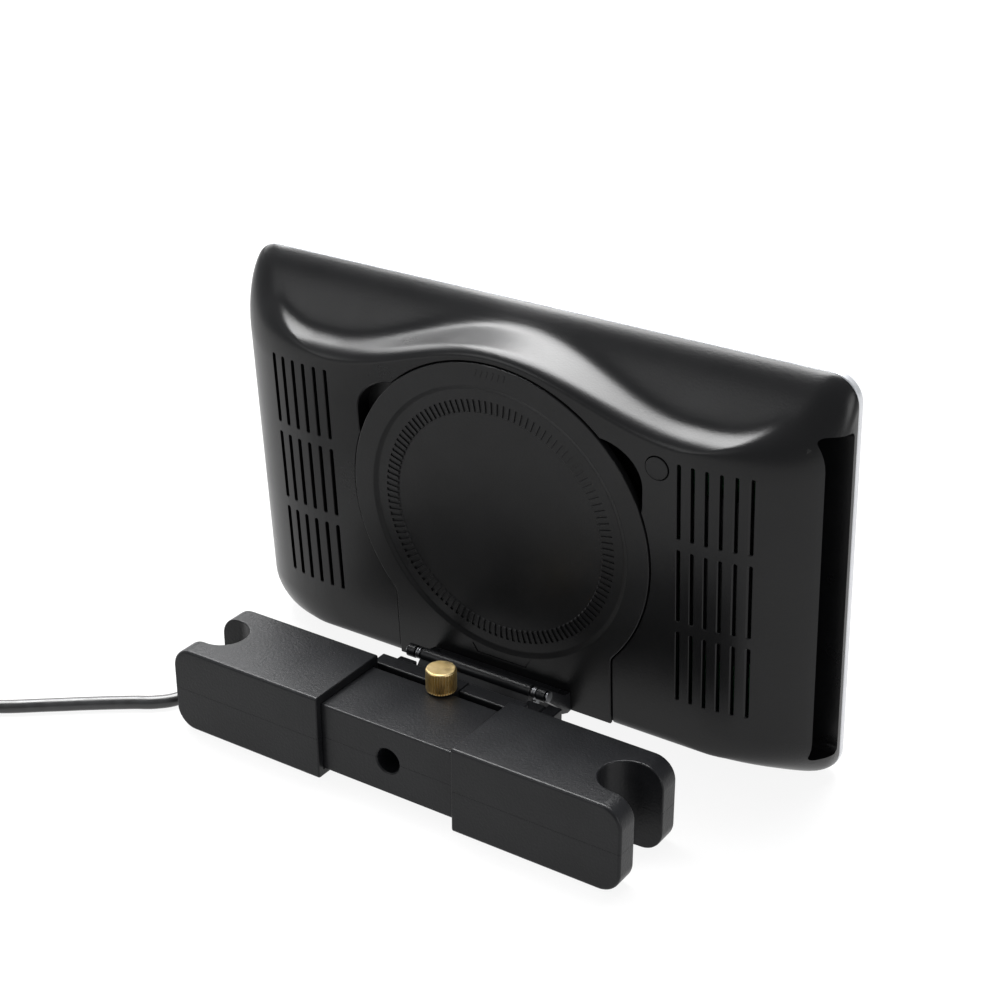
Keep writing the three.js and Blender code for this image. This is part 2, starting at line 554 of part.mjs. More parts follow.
// ---------------------------------------------------------------- cord, coil and plug
const CORD_ROUTE = [
  [-42.3, -13.2, 9.6], [-48, -13.1, 9.2], [-55, -12.6, 7], [-62, -11.8, 4.2], [-70, -11.2, 2.7],
  [-79, -10.8, 2.6], [-87, -11.4, 2.6], [-94, -14.6, 2.6], [-98.4, -20.4, 2.6], [-99.8, -28, 2.6],
  [-100, -36, 2.6], [-102, -43.8, 2.6], [-106.8, -49.6, 2.6], [-113.4, -54.1, 2.6], [-124.4, -62.1, 2.6],
  [-138.3, -72.8, 2.6], [-152.4, -83.4, 2.6], [-163.3, -89.4, 2.6],
];
const TAIL_ROUTE = [
  [-149.1, -171.5, 8.6], [-145.3, -172.1, 9.5], [-141.5, -172.7, 10.3], [-137.8, -173.3, 10.8],
];
const PLUG = { start: [-137.5, -173.4, 10.9], heading: -0.16, relief: 18, body: 40, radius: 10.8 };

function cordTube(points, steps) {
  const curve = new THREE.CatmullRomCurve3(points.map((p) => new THREE.Vector3(...p)), false, 'centripetal');
  const section = new THREE.Shape();
  const sides = 8;
  for (let i = 0; i <= sides; i++) {
    const a = (i / sides) * 2 * Math.PI;
    const place = [CORD_RADIUS * Math.cos(a), CORD_RADIUS * Math.sin(a)];
    if (i === 0) section.moveTo(...place);
    else section.lineTo(...place);
  }
  return solid(new THREE.ExtrudeGeometry(section, { steps, bevelEnabled: false, extrudePath: curve }));
}

// A round profile of [radius, length] pairs, turned about the plug's own axis and laid on the ground.
function plugPiece(profile) {
  const points = profile.map(([r, along]) => new THREE.Vector2(r, along));
  const turned = new THREE.LatheGeometry(points, ROUND).rotateZ(-Math.PI / 2).rotateZ(PLUG.heading);
  return solid(turned.translate(...PLUG.start));
}

function addCord() {
  const collar = rod('x', 3.4, [-34, -RAIL.half - GAP], CORD_EXIT);
  const root = rod('x', 2.3, [-32, -RAIL.half + 3], CORD_EXIT);
  const sleeveTip = rod('x', 2.7, [-42, -33.8], CORD_EXIT, ROUND, 3.2);
  add(parts, 'cord_gland', 'cord', join(collar, root, sleeveTip));
  add(parts, 'cord', 'cord', cordTube(CORD_ROUTE, 30));
  const { inner, outer, top } = COIL;
  const section = [[inner, 1.5], [inner + 1.5, 0.1], [outer - 1.5, 0.1], [outer, 1.5], [outer, top - 1.5],
    [outer - 1.5, top], [inner + 1.5, top], [inner, top - 1.5], [inner, 1.5]];
  const ring = new THREE.LatheGeometry(section.map(([r, z]) => new THREE.Vector2(r, z)), 24);
  add(parts, 'cord_coil', 'cord', solid(ring.rotateX(Math.PI / 2).translate(COIL.x, COIL.y, 0)));
  add(parts, 'cord_tail', 'cord', cordTube(TAIL_ROUTE, 5));
  const { relief, body, radius: r } = PLUG;
  add(parts, 'plug_relief', 'cord', plugPiece([[0, 0], [3, 0], [5.4, relief], [0, relief]]));
  const start = relief + GAP;
  const nose = start + body;
  const grip = [
    [0, start], [7, start], [r, start + 6], [r, start + 18], [9.4, start + 22], [9.4, nose], [0, nose],
  ];
  add(parts, 'plug_body', 'cord', plugPiece(grip));
  const foot = nose + GAP;
  const tip = [
    [0, foot], [5.6, foot], [5.6, foot + 2.7], [3.4, foot + 6.7], [2.4, foot + 9.7], [0, foot + 9.7],
  ];
  add(parts, 'plug_tip', 'steel', plugPiece(tip));
}

// ---------------------------------------------------------------- assembly
addSleeve(-1, 'left');
addSleeve(1, 'right');
addBeam();
addCarrier();
addMountArm();
addLid();
addBackShell();
addDrive();
addScreenSide();
addSpeakers();
addPorts();
addReleaseButton();
addCord();

export default parts;
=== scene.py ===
"""Looks of a headrest monitor on its telescopic post bracket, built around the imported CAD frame.

Shapes are drawn in millimetres and become metres when a piece is placed. Bracket pieces are drawn in the
row frame. Housing pieces are drawn in the housing's own frame, which leans a little towards the bracket:
X, depth from the lid side (Y) and height up the housing (Z).
"""
import json
import math

import bmesh
import bpy
from mathutils import Matrix, Vector


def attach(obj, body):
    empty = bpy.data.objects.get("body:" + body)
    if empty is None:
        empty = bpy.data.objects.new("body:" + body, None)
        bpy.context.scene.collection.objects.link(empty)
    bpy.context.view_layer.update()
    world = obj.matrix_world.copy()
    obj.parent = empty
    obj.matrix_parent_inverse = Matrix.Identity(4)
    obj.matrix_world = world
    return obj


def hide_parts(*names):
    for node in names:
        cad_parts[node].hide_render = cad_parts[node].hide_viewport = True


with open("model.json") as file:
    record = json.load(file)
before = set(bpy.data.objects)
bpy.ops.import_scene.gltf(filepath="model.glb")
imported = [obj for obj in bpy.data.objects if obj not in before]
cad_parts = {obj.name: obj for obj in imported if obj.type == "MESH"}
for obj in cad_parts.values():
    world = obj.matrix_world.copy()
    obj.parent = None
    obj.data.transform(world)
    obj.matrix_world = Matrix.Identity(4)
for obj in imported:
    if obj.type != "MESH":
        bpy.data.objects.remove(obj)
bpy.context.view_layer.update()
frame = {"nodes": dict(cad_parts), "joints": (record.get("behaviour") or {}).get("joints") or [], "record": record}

# ---------------- driving dimensions, millimetres
MM = 0.001
SEAM = 0.045  # half the hairline between two moulded halves
SLEEVE = {"inner": 28, "outer": 93, "front": -53, "back": -17, "height": 32.7, "wall": 2.5, "roof": 3.2,
          "hollow_end": 66, "end_round": 8, "edge": 1.1}
NOTCH = {"apex": 75, "radius": 9.2, "y": -35}
SEAM_Z = 16.15
BEAM = {"half": 45.5, "front": -50.2, "back": -20, "low": 2.9, "top": 29.2, "wall": 2.4}
BLOCK_SCREWS = [(-20, -35), (22, -35)]
SLEEVE_SCREWS = {"x": 70.2, "from_edge": 7}
KNOB = {"x": 1, "y": -19.5, "radius": 5.5, "low": 29.5, "top": 38, "ribs": 36, "stud": 2.4}
WEB = {"x0": -4.4, "x1": 6.4, "low": 24.4, "back": -10.3}
RAIL = {"half": 31, "front": -16.7, "back": -10, "low": 3, "top": 28.9}
LEAF = {"half": 34, "low": 17, "top": 20, "back": 0.2, "neck": 23.5}
TILT = {"radius": 2.4, "pin": 1.5, "cheek_in": 26.3, "cheek_out": 29.5}
ARM_SCREWS = {"x": (-18, 18), "h": 14.6}
HIDDEN_SCREW = {"bore": 4.7, "floor": -38}
HOUSING = {"half": 122, "flat": 78, "low": -2, "top": 152, "corner": 10, "thick": 31, "shell": 27, "rim": 25}
SHOULDER = {"low": 127.6, "swell": 16.2, "swell_half": 74, "side": 80, "side_run": 20, "side_rise": 4,
            "slope": 0.36, "swell_slope": 0.1, "lip": 3, "blend": 2.5}
BAND = {"from_rim": 4, "slope": 1.75, "blend": 7, "drop": 2.03}
BOTTOM = {"height": 8.5, "lip": 4.5, "reach": 3, "slope": 0.5, "blend": 1.2}
SKIN = 2.2
LID = {"h": 78, "radius": 61.5, "foot": 46, "low": 9.5, "out": -0.6, "inside": 2.4, "clear": 0.35,
       "fillet": 5}
LID_HINGE = {"d": 2.4, "h": 12.4, "radius": 2.8, "pocket": 3.6, "pin_hole": 1.28, "floor": 6.2, "ear": 49.5}
DIAL = {"step": 0.86, "tick_out": 0.775, "tick_in": 0.7, "ticks": 118, "sink": 0.8}
SCOOP = {"x0": 36, "x1": 58.5, "low": 96, "top": 123, "floor": 7, "wall": 1.1}
SLOTS = {"first": 72.3, "pitch": 5.1, "columns": 6, "width": 1.4, "low": 28.9, "length": 27.9, "step": 32.1,
         "rows": 3}
BUTTON = {"x": 64.3, "h": 117.7, "radius": 4.1, "hole": 4.4}
BAY = {"x": 109, "d0": 13.8, "d1": 24.6, "low": 10, "top": 135, "wall": 1.8, "round": 2.5}
WINDOW = {"half": 100, "low": 24, "top": 138, "round": 1.2}
KEY_HEIGHT = 12
KEY_PLACES = {"power_key": 40, "source_key": 55, "volume_down_key": 70, "volume_up_key": 85}
SOCKETS = {"usb_socket": ((16.2, 22.4), (96, 109.5)), "card_socket": ((17.5, 21.1), (60, 86))}
JACKS = {"audio_jack": 46, "video_jack": 38}
JACK_DEPTH = 19.2
CORD_RADIUS = 2.5
COIL = {"x": -165, "y": -132, "outer": 36.5, "inner": 18, "z": 2.6, "layer": 5, "turns": 7, "steps": 18,
        "climb": 9}
CORD_ROUTE = [
    (-42, -13.2, 9.6), (-48, -13.1, 9.2), (-55, -12.6, 7), (-62, -11.8, 4.2), (-70, -11.2, 2.7),
    (-79, -10.8, 2.6), (-87, -11.4, 2.6), (-94, -14.6, 2.6), (-98.4, -20.4, 2.6), (-99.8, -28, 2.6),
    (-100, -36, 2.6), (-102, -43.8, 2.6), (-106.8, -49.6, 2.6), (-113.4, -54.1, 2.6), (-124.4, -62.1, 2.6),
    (-138.3, -72.8, 2.6), (-152.4, -83.4, 2.6), (-163.3, -89.4, 2.6),
]
CORD_EXIT = CORD_ROUTE[0][1:]  # Y and Z of the gland
TAIL_ROUTE = [(-149.1, -171.5, 8.6), (-145.3, -172.1, 9.5), (-141.5, -172.7, 10.3), (-137.8, -173.3, 10.8)]
PLUG = {"start": (-137.5, -173.4, 10.9), "heading": -0.16, "relief": 18, "body": 40,
        "radius": 10.8, "grips": 20}

# ---------------- frames
joints = {joint["name"]: joint for joint in frame["joints"]}
DEPTH = Vector(joints["release_button_press"]["axis"]).normalized()
HEIGHT = Vector((1, 0, 0)).cross(DEPTH)
hinge_arm = DEPTH * LID_HINGE["d"] * MM + HEIGHT * LID_HINGE["h"] * MM
housing_origin = Vector(joints["lid_opening"]["pos_m"]) - hinge_arm
AXES = Matrix(((1, DEPTH.x, HEIGHT.x), (0, DEPTH.y, HEIGHT.y), (0, DEPTH.z, HEIGHT.z)))
ROW_FRAME = Matrix.Scale(MM, 4)
HOUSING_FRAME = Matrix.Translation(housing_origin) @ AXES.to_4x4() @ ROW_FRAME
tilt_place = Vector(joints["tilt"]["pos_m"])
LID_CENTRE = (0, LID["h"])
LID_AXIS = (LID_HINGE["d"], LID_HINGE["h"])
BORE_CENTRE = (0, SEAM_Z)
TILT_AXIS = tuple((HOUSING_FRAME.inverted() @ tilt_place).yz)
TILT_AXIS_ROW = tuple((tilt_place / MM).yz)
KNOB_CENTRE = (KNOB["x"], KNOB["y"])
PLUG_FRAME = Matrix.Translation(PLUG["start"]) @ Matrix.Rotation(PLUG["heading"], 4, "Z")


# ---------------- camera: metres, degrees and millimetres
CAMERA = {"place": (0.34734, -0.50604, 0.39658), "azimuth": 33.49, "elevation": 26.22, "lens": 72.27}


def add_camera():
    data = bpy.data.cameras.new("camera")
    data.lens = CAMERA["lens"]
    data.sensor_width = 36
    camera = add_object("camera", data)
    camera.location = CAMERA["place"]
    camera.rotation_euler = (math.radians(90 - CAMERA["elevation"]), 0, math.radians(CAMERA["azimuth"]))
    bpy.context.scene.camera = camera


# ---------------- outlines
def arc(x, y, radius, start, stop, steps):
    """Points from one angle to another, in degrees, both ends included."""
    angles = [math.radians(start + (stop - start) * i / steps) for i in range(steps + 1)]
    return [(x + radius * math.cos(a), y + radius * math.sin(a)) for a in angles]


def circle(x, y, radius, steps=96):
    return arc(x, y, radius, 0, 360, steps)[:-1]


def smooth(share):
    """Eases a share from 0 to 1, level at both ends."""
    return share * share * (3 - 2 * share)


def rounded(x0, x1, y0, y1, radius, steps=8, grow=0.0):
    """A rectangle with round corners, grown outwards on all sides."""
    x0, x1, y0, y1, r = x0 - grow, x1 + grow, y0 - grow, y1 + grow, radius + grow
    return [*arc(x0 + r, y0 + r, r, 180, 270, steps), *arc(x1 - r, y0 + r, r, 270, 360, steps),
            *arc(x1 - r, y1 - r, r, 0, 90, steps), *arc(x0 + r, y1 - r, r, 90, 180, steps)]


def sided(side, a, b):
    """A span on the right of the middle, or its mirror image on the left."""
    return (a, b) if side > 0 else (-b, -a)


# ---------------- solids
def add_object(name, data):
    obj = bpy.data.objects.new(name, data)
    bpy.context.scene.collection.objects.link(obj)
    return obj


def mesh_object(points, faces):
    """An object whose faces all look outwards."""
    mesh = bpy.data.meshes.new("tool")
    mesh.from_pydata([tuple(p) for p in points], [], faces)
    bm = bmesh.new()
    bm.from_mesh(mesh)
    bmesh.ops.recalc_face_normals(bm, faces=bm.faces)
    bm.to_mesh(mesh)
    bm.free()
    return add_object("tool", mesh)


def loft(rings, loop=False):
    """A closed solid through rings of equal length; a loop joins the last ring to the first."""
    count = len(rings[0])
    points = [p for ring in rings for p in ring]
    pairs = len(rings) if loop else len(rings) - 1
    faces = []
    for k in range(pairs):
        here, there = k * count, ((k + 1) % len(rings)) * count
        for i in range(count):
            j = (i + 1) % count
            faces.append((here + i, here + j, there + j, there + i))
    if not loop:
        faces.append(tuple(range(count))[::-1])
        faces.append(tuple(range(len(points) - count, len(points))))
    return mesh_object(points, faces)


def lay(axis, outline, along):
    """An outline's points on the plane across an axis, at one place along it."""
    if axis == "x":
        return [(along, a, b) for a, b in outline]
    if axis == "y":
        return [(a, along, b) for a, b in outline]
    return [(a, b, along) for a, b in outline]


def prism(axis, outline, span):
    return loft([lay(axis, outline, span[0]), lay(axis, outline, span[1])])


def turned(axis, centre, profile, steps=64):
    """A solid turned about an axis through centre, from (along, radius) pairs."""
    return loft([lay(axis, circle(*centre, radius, steps), along) for along, radius in profile])


def rod(axis, radius, span, centre, edge=0.0, steps=64):
    if not edge:
        return turned(axis, centre, [(span[0], radius), (span[1], radius)], steps)
    slim = radius - edge
    low, high = span[0] + edge, span[1] - edge
    return turned(axis, centre, [(span[0], slim), (low, radius), (high, radius), (span[1], slim)], steps)


def block(x, y, z):
    return prism("z", [(x[0], y[0]), (x[1], y[0]), (x[1], y[1]), (x[0], y[1])], z)


def well(axis, outline_at, top, bottom, chamfer):
    """A cutter with a chamfered mouth. outline_at gives its outline for a growth; top is the surface."""
    sign = 1 if bottom > top else -1
    mouth = [(top - sign, chamfer + 1), (top + sign * chamfer, 0), (bottom, 0)]
    return loft([lay(axis, outline_at(grow), along) for along, grow in mouth])


def merged(objects):
    """Several solids that don't touch, as one object."""
    bm = bmesh.new()
    for obj in objects:
        bm.from_mesh(obj.data)
        bpy.data.objects.remove(obj, do_unlink=True)
    mesh = bpy.data.meshes.new("tools")
    bm.to_mesh(mesh)
    bm.free()
    return add_object("tools", mesh)


def apply_modifiers(obj):
    bpy.context.view_layer.update()
    graph = bpy.context.evaluated_depsgraph_get()
    mesh = bpy.data.meshes.new_from_object(obj.evaluated_get(graph))
    obj.modifiers.clear()
    obj.data = mesh
    return obj


def combine(body, operation, tools, keep=()):
    for tool in tools:
        modifier = body.modifiers.new("boolean", "BOOLEAN")
        modifier.operation = operation
        modifier.solver = "MANIFOLD"
        modifier.object = tool
    apply_modifiers(body)
    for tool in tools:
        if tool not in keep:
            bpy.data.objects.remove(tool, do_unlink=True)
    return body


def cut(body, *tools):
    return combine(body, "DIFFERENCE", tools)


def join(body, *others):
    return combine(body, "UNION", others)


def shared(body, other):
    return combine(body, "INTERSECT", [other])


def copy_of(obj):
    twin = obj.copy()
    twin.data = obj.data.copy()
    bpy.context.scene.collection.objects.link(twin)
    return twin


def soften(obj, width, steps=3, angle=32):
    """Rounds every edge that is sharper than an angle."""
    modifier = obj.modifiers.new("edges", "BEVEL")
    modifier.width = width
    modifier.segments = steps
    modifier.limit_method = "ANGLE"
    modifier.angle_limit = math.radians(angle)
    return apply_modifiers(obj)


def place(obj, name, body, slot, space=ROW_FRAME, replaces=(), sharp=38):
    """Turns a drawn solid into a finished piece that rides on a body; slot names its material."""
    obj.name = name
    obj.data.name = name
    obj.data.transform(space)
    obj.data.materials.clear()
    obj.data.materials.append(MATERIALS[slot])
    for polygon in obj.data.polygons:
        polygon.use_smooth = True
    obj.data.set_sharp_from_angle(angle=math.radians(sharp))
    weighted = obj.modifiers.new("normals", "WEIGHTED_NORMAL")
    weighted.keep_sharp = True
    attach(obj, body)
    if replaces:
        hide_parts(*replaces)
    return obj


def refine(obj, node_name, body, slot, space=ROW_FRAME, sharp=38):
    """Places a piece that stands in for one CAD node."""
    return place(obj, "fine_" + node_name, body, slot, space, [node_name], sharp)


# ---------------- materials
def set_sockets(target, values):
    """Sets sockets by name, with _ for a space."""
    for name, value in values.items():
        target.inputs[name.replace("_", " ")].default_value = value
    return target


def new_material(name, **values):
    material = bpy.data.materials.new(name)
    material.use_nodes = True
    tree = material.node_tree
    return material, tree, set_sockets(tree.nodes["Principled BSDF"], values)


def node(tree, kind, **values):
    return set_sockets(tree.nodes.new(kind), values)


def noise(tree, scale, detail=2.0, roughness=0.5):
    """Noise in the piece's own coordinates; scale is in cells per metre."""
    places = tree.nodes.new("ShaderNodeTexCoord")
    texture = node(tree, "ShaderNodeTexNoise", Scale=scale, Detail=detail, Roughness=roughness)
    tree.links.new(places.outputs["Object"], texture.inputs["Vector"])
    return texture.outputs["Fac"]


def spread(tree, value, low, high, from_low=0.3, from_high=0.7):
    """A value spread over a new range."""
    ranged = node(tree, "ShaderNodeMapRange", From_Min=from_low, From_Max=from_high, To_Min=low, To_Max=high)
    tree.links.new(value, ranged.inputs["Value"])
    return ranged.outputs["Result"]


def tint(tree, value, dark, light):
    """Two colours mixed by a value."""
    mix = tree.nodes.new("ShaderNodeMix")
    mix.data_type = "RGBA"
    mix.inputs["A"].default_value = (*dark, 1)
    mix.inputs["B"].default_value = (*light, 1)
    tree.links.new(spread(tree, value, 0, 1), mix.inputs["Factor"])
    return mix.outputs["Result"]


def relief(tree, shader, value, strength, distance, under=None):
    bump = node(tree, "ShaderNodeBump", Strength=strength, Distance=distance)
    tree.links.new(value, bump.inputs["Height"])
    if under is not None:
        tree.links.new(under, bump.inputs["Normal"])
    tree.links.new(bump.outputs["Normal"], shader.inputs["Normal"])
    return bump.outputs["Normal"]


def varied_material(name, colours, colour_noise, rough, rough_noise, **values):
    """A material whose colour and gloss vary a little. values are the same all over."""
    material, tree, shader = new_material(name, **values)
    tree.links.new(tint(tree, noise(tree, *colour_noise), *colours), shader.inputs["Base Color"])
    tree.links.new(spread(tree, noise(tree, *rough_noise), *rough), shader.inputs["Roughness"])
    return material, tree, shader


def moulded_plastic(name, dark, light, rough, grain, depth, specular=0.5):
    """Black moulded plastic: fine spark-eroded grain, faint flow marks and handling marks in its gloss."""
    material, tree, shader = varied_material(name, (dark, light), (55, 4), rough, (38, 5, 0.6),
                                             Specular_IOR_Level=specular)
    waves = relief(tree, shader, noise(tree, 14, 1), 0.06, 0.002)
    relief(tree, shader, noise(tree, grain, 3, 0.6), depth, 0.00012, waves)
    return material


def turned_metal(name, dark, light, rough, lines, depth):
    """Machined metal with fine tool lines, small stains and soft wear."""
    material, tree, shader = varied_material(name, (dark, light), (260, 4), rough, (420, 3), Metallic=1)
    places = tree.nodes.new("ShaderNodeTexCoord")
    rings = node(tree, "ShaderNodeTexWave", Scale=lines, Distortion=0.8, Detail=2)
    rings.wave_type = "RINGS"
    rings.rings_direction = "Z"
    tree.links.new(places.outputs["Object"], rings.inputs["Vector"])
    relief(tree, shader, rings.outputs["Fac"], depth, 0.00005)
    return material


def silver_paint():
    """Metallic paint with fine flakes under a thin clear coat."""
    flakes = (5200, 2)
    material, tree, shader = varied_material(
        "silver_trim", ((0.5, 0.51, 0.53), (0.64, 0.65, 0.67)), flakes, (0.3, 0.4), (90, 3),
        Metallic=0.75, Coat_Weight=0.4, Coat_Roughness=0.2)
    relief(tree, shader, noise(tree, *flakes), 0.08, 0.00005)
    return material


def dark_glass():
    """The unlit screen: nearly black, glossy, with faint wipe marks."""
    material, tree, shader = varied_material(
        "screen_glass", ((0.006, 0.006, 0.008), (0.01, 0.011, 0.013)), (12, 2), (0.07, 0.16), (30, 5, 0.65),
        Specular_IOR_Level=0.35, Coat_Weight=0.25, Coat_Roughness=0.03)
    relief(tree, shader, noise(tree, 9, 1), 0.02, 0.001)
    return material


def circuit_board():
    """Green solder mask over a grid of tracks."""
    material, tree, shader = new_material("circuit_board")
    places = tree.nodes.new("ShaderNodeTexCoord")
    tracks = node(tree, "ShaderNodeTexBrick", Scale=240, Mortar_Size=0.12, Mortar_Smooth=0.2)
    tree.links.new(places.outputs["Object"], tracks.inputs["Vector"])
    mask = tint(tree, tracks.outputs["Fac"], (0.012, 0.07, 0.03), (0.03, 0.16, 0.06))
    tree.links.new(mask, shader.inputs["Base Color"])
    tree.links.new(spread(tree, noise(tree, 300, 3), 0.3, 0.45), shader.inputs["Roughness"])
    relief(tree, shader, tracks.outputs["Fac"], 0.4, 0.00005)
    return material


def cord_rubber():
    """A smooth extruded jacket with faint draw lines and a little dust."""
    material, tree, shader = varied_material(
        "cord_rubber", ((0.009, 0.009, 0.009), (0.02, 0.02, 0.021)), (220, 4), (0.28, 0.42), (150, 4),
        Specular_IOR_Level=0.6)
    relief(tree, shader, noise(tree, 2600, 3, 0.6), 0.18, 0.0001)
    return material


MATERIALS = {
    "bracket_plastic": moulded_plastic("bracket_plastic", (0.0055, 0.0057, 0.0065), (0.0085, 0.0088, 0.0098),
                                       (0.3, 0.39), 1000, 0.8, 0.2),
    "housing_plastic": moulded_plastic("housing_plastic", (0.0028, 0.0028, 0.0031), (0.0042, 0.0042, 0.0046),
                                       (0.27, 0.33), 1300, 0.3, 0.26),
    "lid_plastic": moulded_plastic("lid_plastic", (0.0032, 0.0032, 0.0034), (0.005, 0.005, 0.0054),
                                   (0.34, 0.42), 1250, 0.36, 0.27),
    "dark_parts": moulded_plastic("dark_parts", (0.012, 0.012, 0.013), (0.02, 0.02, 0.022),
                                  (0.5, 0.65), 1500, 0.3),
    "brass": turned_metal("brass", (0.62, 0.46, 0.2), (0.78, 0.61, 0.33), (0.3, 0.42), 1100, 0.2),
    "steel": turned_metal("steel", (0.12, 0.122, 0.128), (0.2, 0.203, 0.21), (0.3, 0.45), 1500, 0.25),
    "silver_trim": silver_paint(),
    "screen_glass": dark_glass(),
    "circuit_board": circuit_board(),
    "cord_rubber": cord_rubber(),
}


def finish_cad_nodes():
    """CAD nodes that stay as they are get the material of their slot."""
    for part in frame["record"]["subparts"]:
        obj = frame["nodes"][part["node"]]
        obj.data.materials.clear()
        obj.data.materials.append(MATERIALS[part["material_slot"]])


# ---------------- cord, coil and plug
def coil_turns():
    """Two flat spirals, one on the other: inwards below and outwards again above."""
    start = Vector(CORD_ROUTE[-2][:2])
    centre = Vector((COIL["x"], COIL["y"]))
    to_centre = centre - start
    heading = math.atan2(to_centre.y, to_centre.x) - math.asin(COIL["outer"] / to_centre.length)
    first = heading - math.pi / 2
    last = PLUG["heading"] - math.pi / 2
    sweep = (last - first) % math.tau + COIL["turns"] * math.tau
    count = round(sweep / math.tau * COIL["steps"])
    points = []
    for i in range(count + 1):
        share = i / count
        inwards = 1 - abs(2 * share - 1)
        radius = COIL["outer"] - (COIL["outer"] - COIL["inner"]) * inwards
        climb = min(max((share - 0.5) * count / COIL["climb"] + 0.5, 0), 1)
        angle = first + share * sweep
        spot = centre + radius * Vector((math.cos(angle), math.sin(angle)))
        points.append((spot.x, spot.y, COIL["z"] + COIL["layer"] * smooth(climb)))
    return points


def add_cord(plug_pieces):
    points = [*CORD_ROUTE, *coil_turns(), *TAIL_ROUTE, PLUG["start"]]
    curve = bpy.data.curves.new("power_cord", "CURVE")
    curve.dimensions = "3D"
    curve.bevel_depth = CORD_RADIUS * MM
    curve.bevel_resolution = 5
    curve.resolution_u = 6
    curve.use_fill_caps = True
    spline = curve.splines.new("BEZIER")
    spline.bezier_points.add(len(points) - 1)
    for knot, point in zip(spline.bezier_points, points):
        knot.co = Vector(point) * MM
        knot.handle_left_type = knot.handle_right_type = "AUTO"
    cord = add_object("power_cord", curve)
    curve.materials.append(MATERIALS["cord_rubber"])
    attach(cord, "bracket")
    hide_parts("cord", "cord_coil", "cord_tail")


def on_plug(profile, steps=64):
    """A solid turned about the plug's axis, from (along, radius) pairs."""
    solid = turned("x", (0, 0), profile, steps)
    solid.data.transform(PLUG_FRAME)
    return solid


def plug_relief():
    """A strain relief whose ribs grow from the cord's thickness towards the body."""
    profile = [(0, 2.6), (0.3, 2.9)]
    for i in range(6):
        a = 1.2 + i * 2.7
        r = 3.1 + 0.34 * i
        profile += [(a, r), (a + 0.25, r + 0.35), (a + 1.5, r + 0.42), (a + 1.75, r + 0.05),
                    (a + 2.4, r + 0.1)]
    profile += [(PLUG["relief"] - 0.3, 5.4), (PLUG["relief"], 5.2)]
    return on_plug(profile)


def plug_body():
    start = PLUG["relief"] + 0.3
    nose = start + PLUG["body"]
    r = PLUG["radius"]
    profile = [(start, 6.6), (start + 0.8, 7.3), (start + 5.4, r - 0.5), (start + 6.6, r)]
    profile += [(start + 17.2, r), (start + 18.2, r - 0.5), (start + 21.4, 9.7), (start + 22.2, 9.4)]
    profile += [(nose - 9, 9.4), (nose - 8.7, 8.7), (nose - 8, 8.7), (nose - 7.7, 9.4)]
    profile += [(nose - 0.8, 9.4), (nose, 8.6)]
    body = on_plug(profile, 96)
    grips = []
    for i in range(PLUG["grips"]):
        angle = math.tau * (i + 0.5) / PLUG["grips"]
        groove = block((start + 7.5, start + 16.5), (-0.45, 0.45), (r - 0.5, r + 1))
        groove.data.transform(PLUG_FRAME @ Matrix.Rotation(angle, 4, "X"))
        grips.append(groove)
    return cut(body, merged(grips))


def plug_tip():
    foot = PLUG["relief"] + PLUG["body"] + 0.6
    return on_plug([(foot, 5.6), (foot + 2.2, 5.6), (foot + 2.7, 5.2), (foot + 3.1, 3.9), (foot + 6.7, 3.3),
                    (foot + 8.7, 2.6), (foot + 9.5, 1.6), (foot + 9.7, 0.6)])


def side_springs():
    """The two sprung side contacts of the plug."""
    springs = []
    middle = PLUG["relief"] + 0.3 + 28
    for side in (-1, 1):
        outline = [(middle - 7, side * 8.8), (middle - 4, side * 10.1), (middle + 3, side * 10.3),
                   (middle + 7, side * 8.8)]
        spring = prism("z", outline, (-1.6, 1.6))
        spring.data.transform(PLUG_FRAME)
        springs.append(spring)
    return soften(merged(springs), 0.4, 2)


def add_plug():
    return [
        refine(plug_relief(), "plug_relief", "bracket", "cord_rubber"),
        refine(plug_body(), "plug_body", "bracket", "cord_rubber", sharp=30),
        refine(plug_tip(), "plug_tip", "bracket", "steel"),
        place(side_springs(), "plug_side_springs", "bracket", "steel"),
    ]


# ---------------- housing: the surface of the back shell
def rounded_max(a, b, width):
    """The larger of two heights, with a rounded change from one to the other."""
    return (a + b + math.hypot(a - b, width)) / 2


def half_width(depth):
    """Half the housing's width at a depth: a quarter round from the flat to the rim."""
    rest = 1 - min(max(depth, 0), HOUSING["rim"]) / HOUSING["rim"]
    return HOUSING["flat"] + (HOUSING["half"] - HOUSING["flat"]) * math.sqrt(1 - rest * rest)


def surface_depth(x):
    """Depth of the lid side at X: flat in the middle, rounding off towards the rim."""
    over = min(max(abs(x) - HOUSING["flat"], 0) / (HOUSING["half"] - HOUSING["flat"]), 1)
    return HOUSING["rim"] * (1 - math.sqrt(1 - over * over))


def lip(depth, reach=4.5):
    """A quarter round from 1 at the lid side to 0 at its reach."""
    rest = 1 - min(depth, reach) / reach
    return 1 - math.sqrt(1 - rest * rest)


def top_edge(x, depth):
    """The wavy shoulder above the lid runs into the slanted band below the rim."""
    half = SHOULDER["swell_half"]
    swell = 0.5 + 0.5 * math.cos(math.pi * x / half) if abs(x) < half else 0
    side = max(0, (abs(x) - SHOULDER["side"]) / SHOULDER["side_run"])
    slope = SHOULDER["slope"] + (SHOULDER["swell_slope"] - SHOULDER["slope"]) * swell
    shoulder = SHOULDER["low"] + SHOULDER["swell"] * swell + SHOULDER["side_rise"] * side * side
    shoulder += slope * depth - SHOULDER["lip"] * lip(depth)
    below = HOUSING["shell"] - BAND["from_rim"] - depth
    band = HOUSING["top"] - BAND["slope"] * (rounded_max(below, 0, BAND["blend"]) - BAND["drop"])
    return min(rounded_max(shoulder, band, SHOULDER["blend"]), HOUSING["top"])


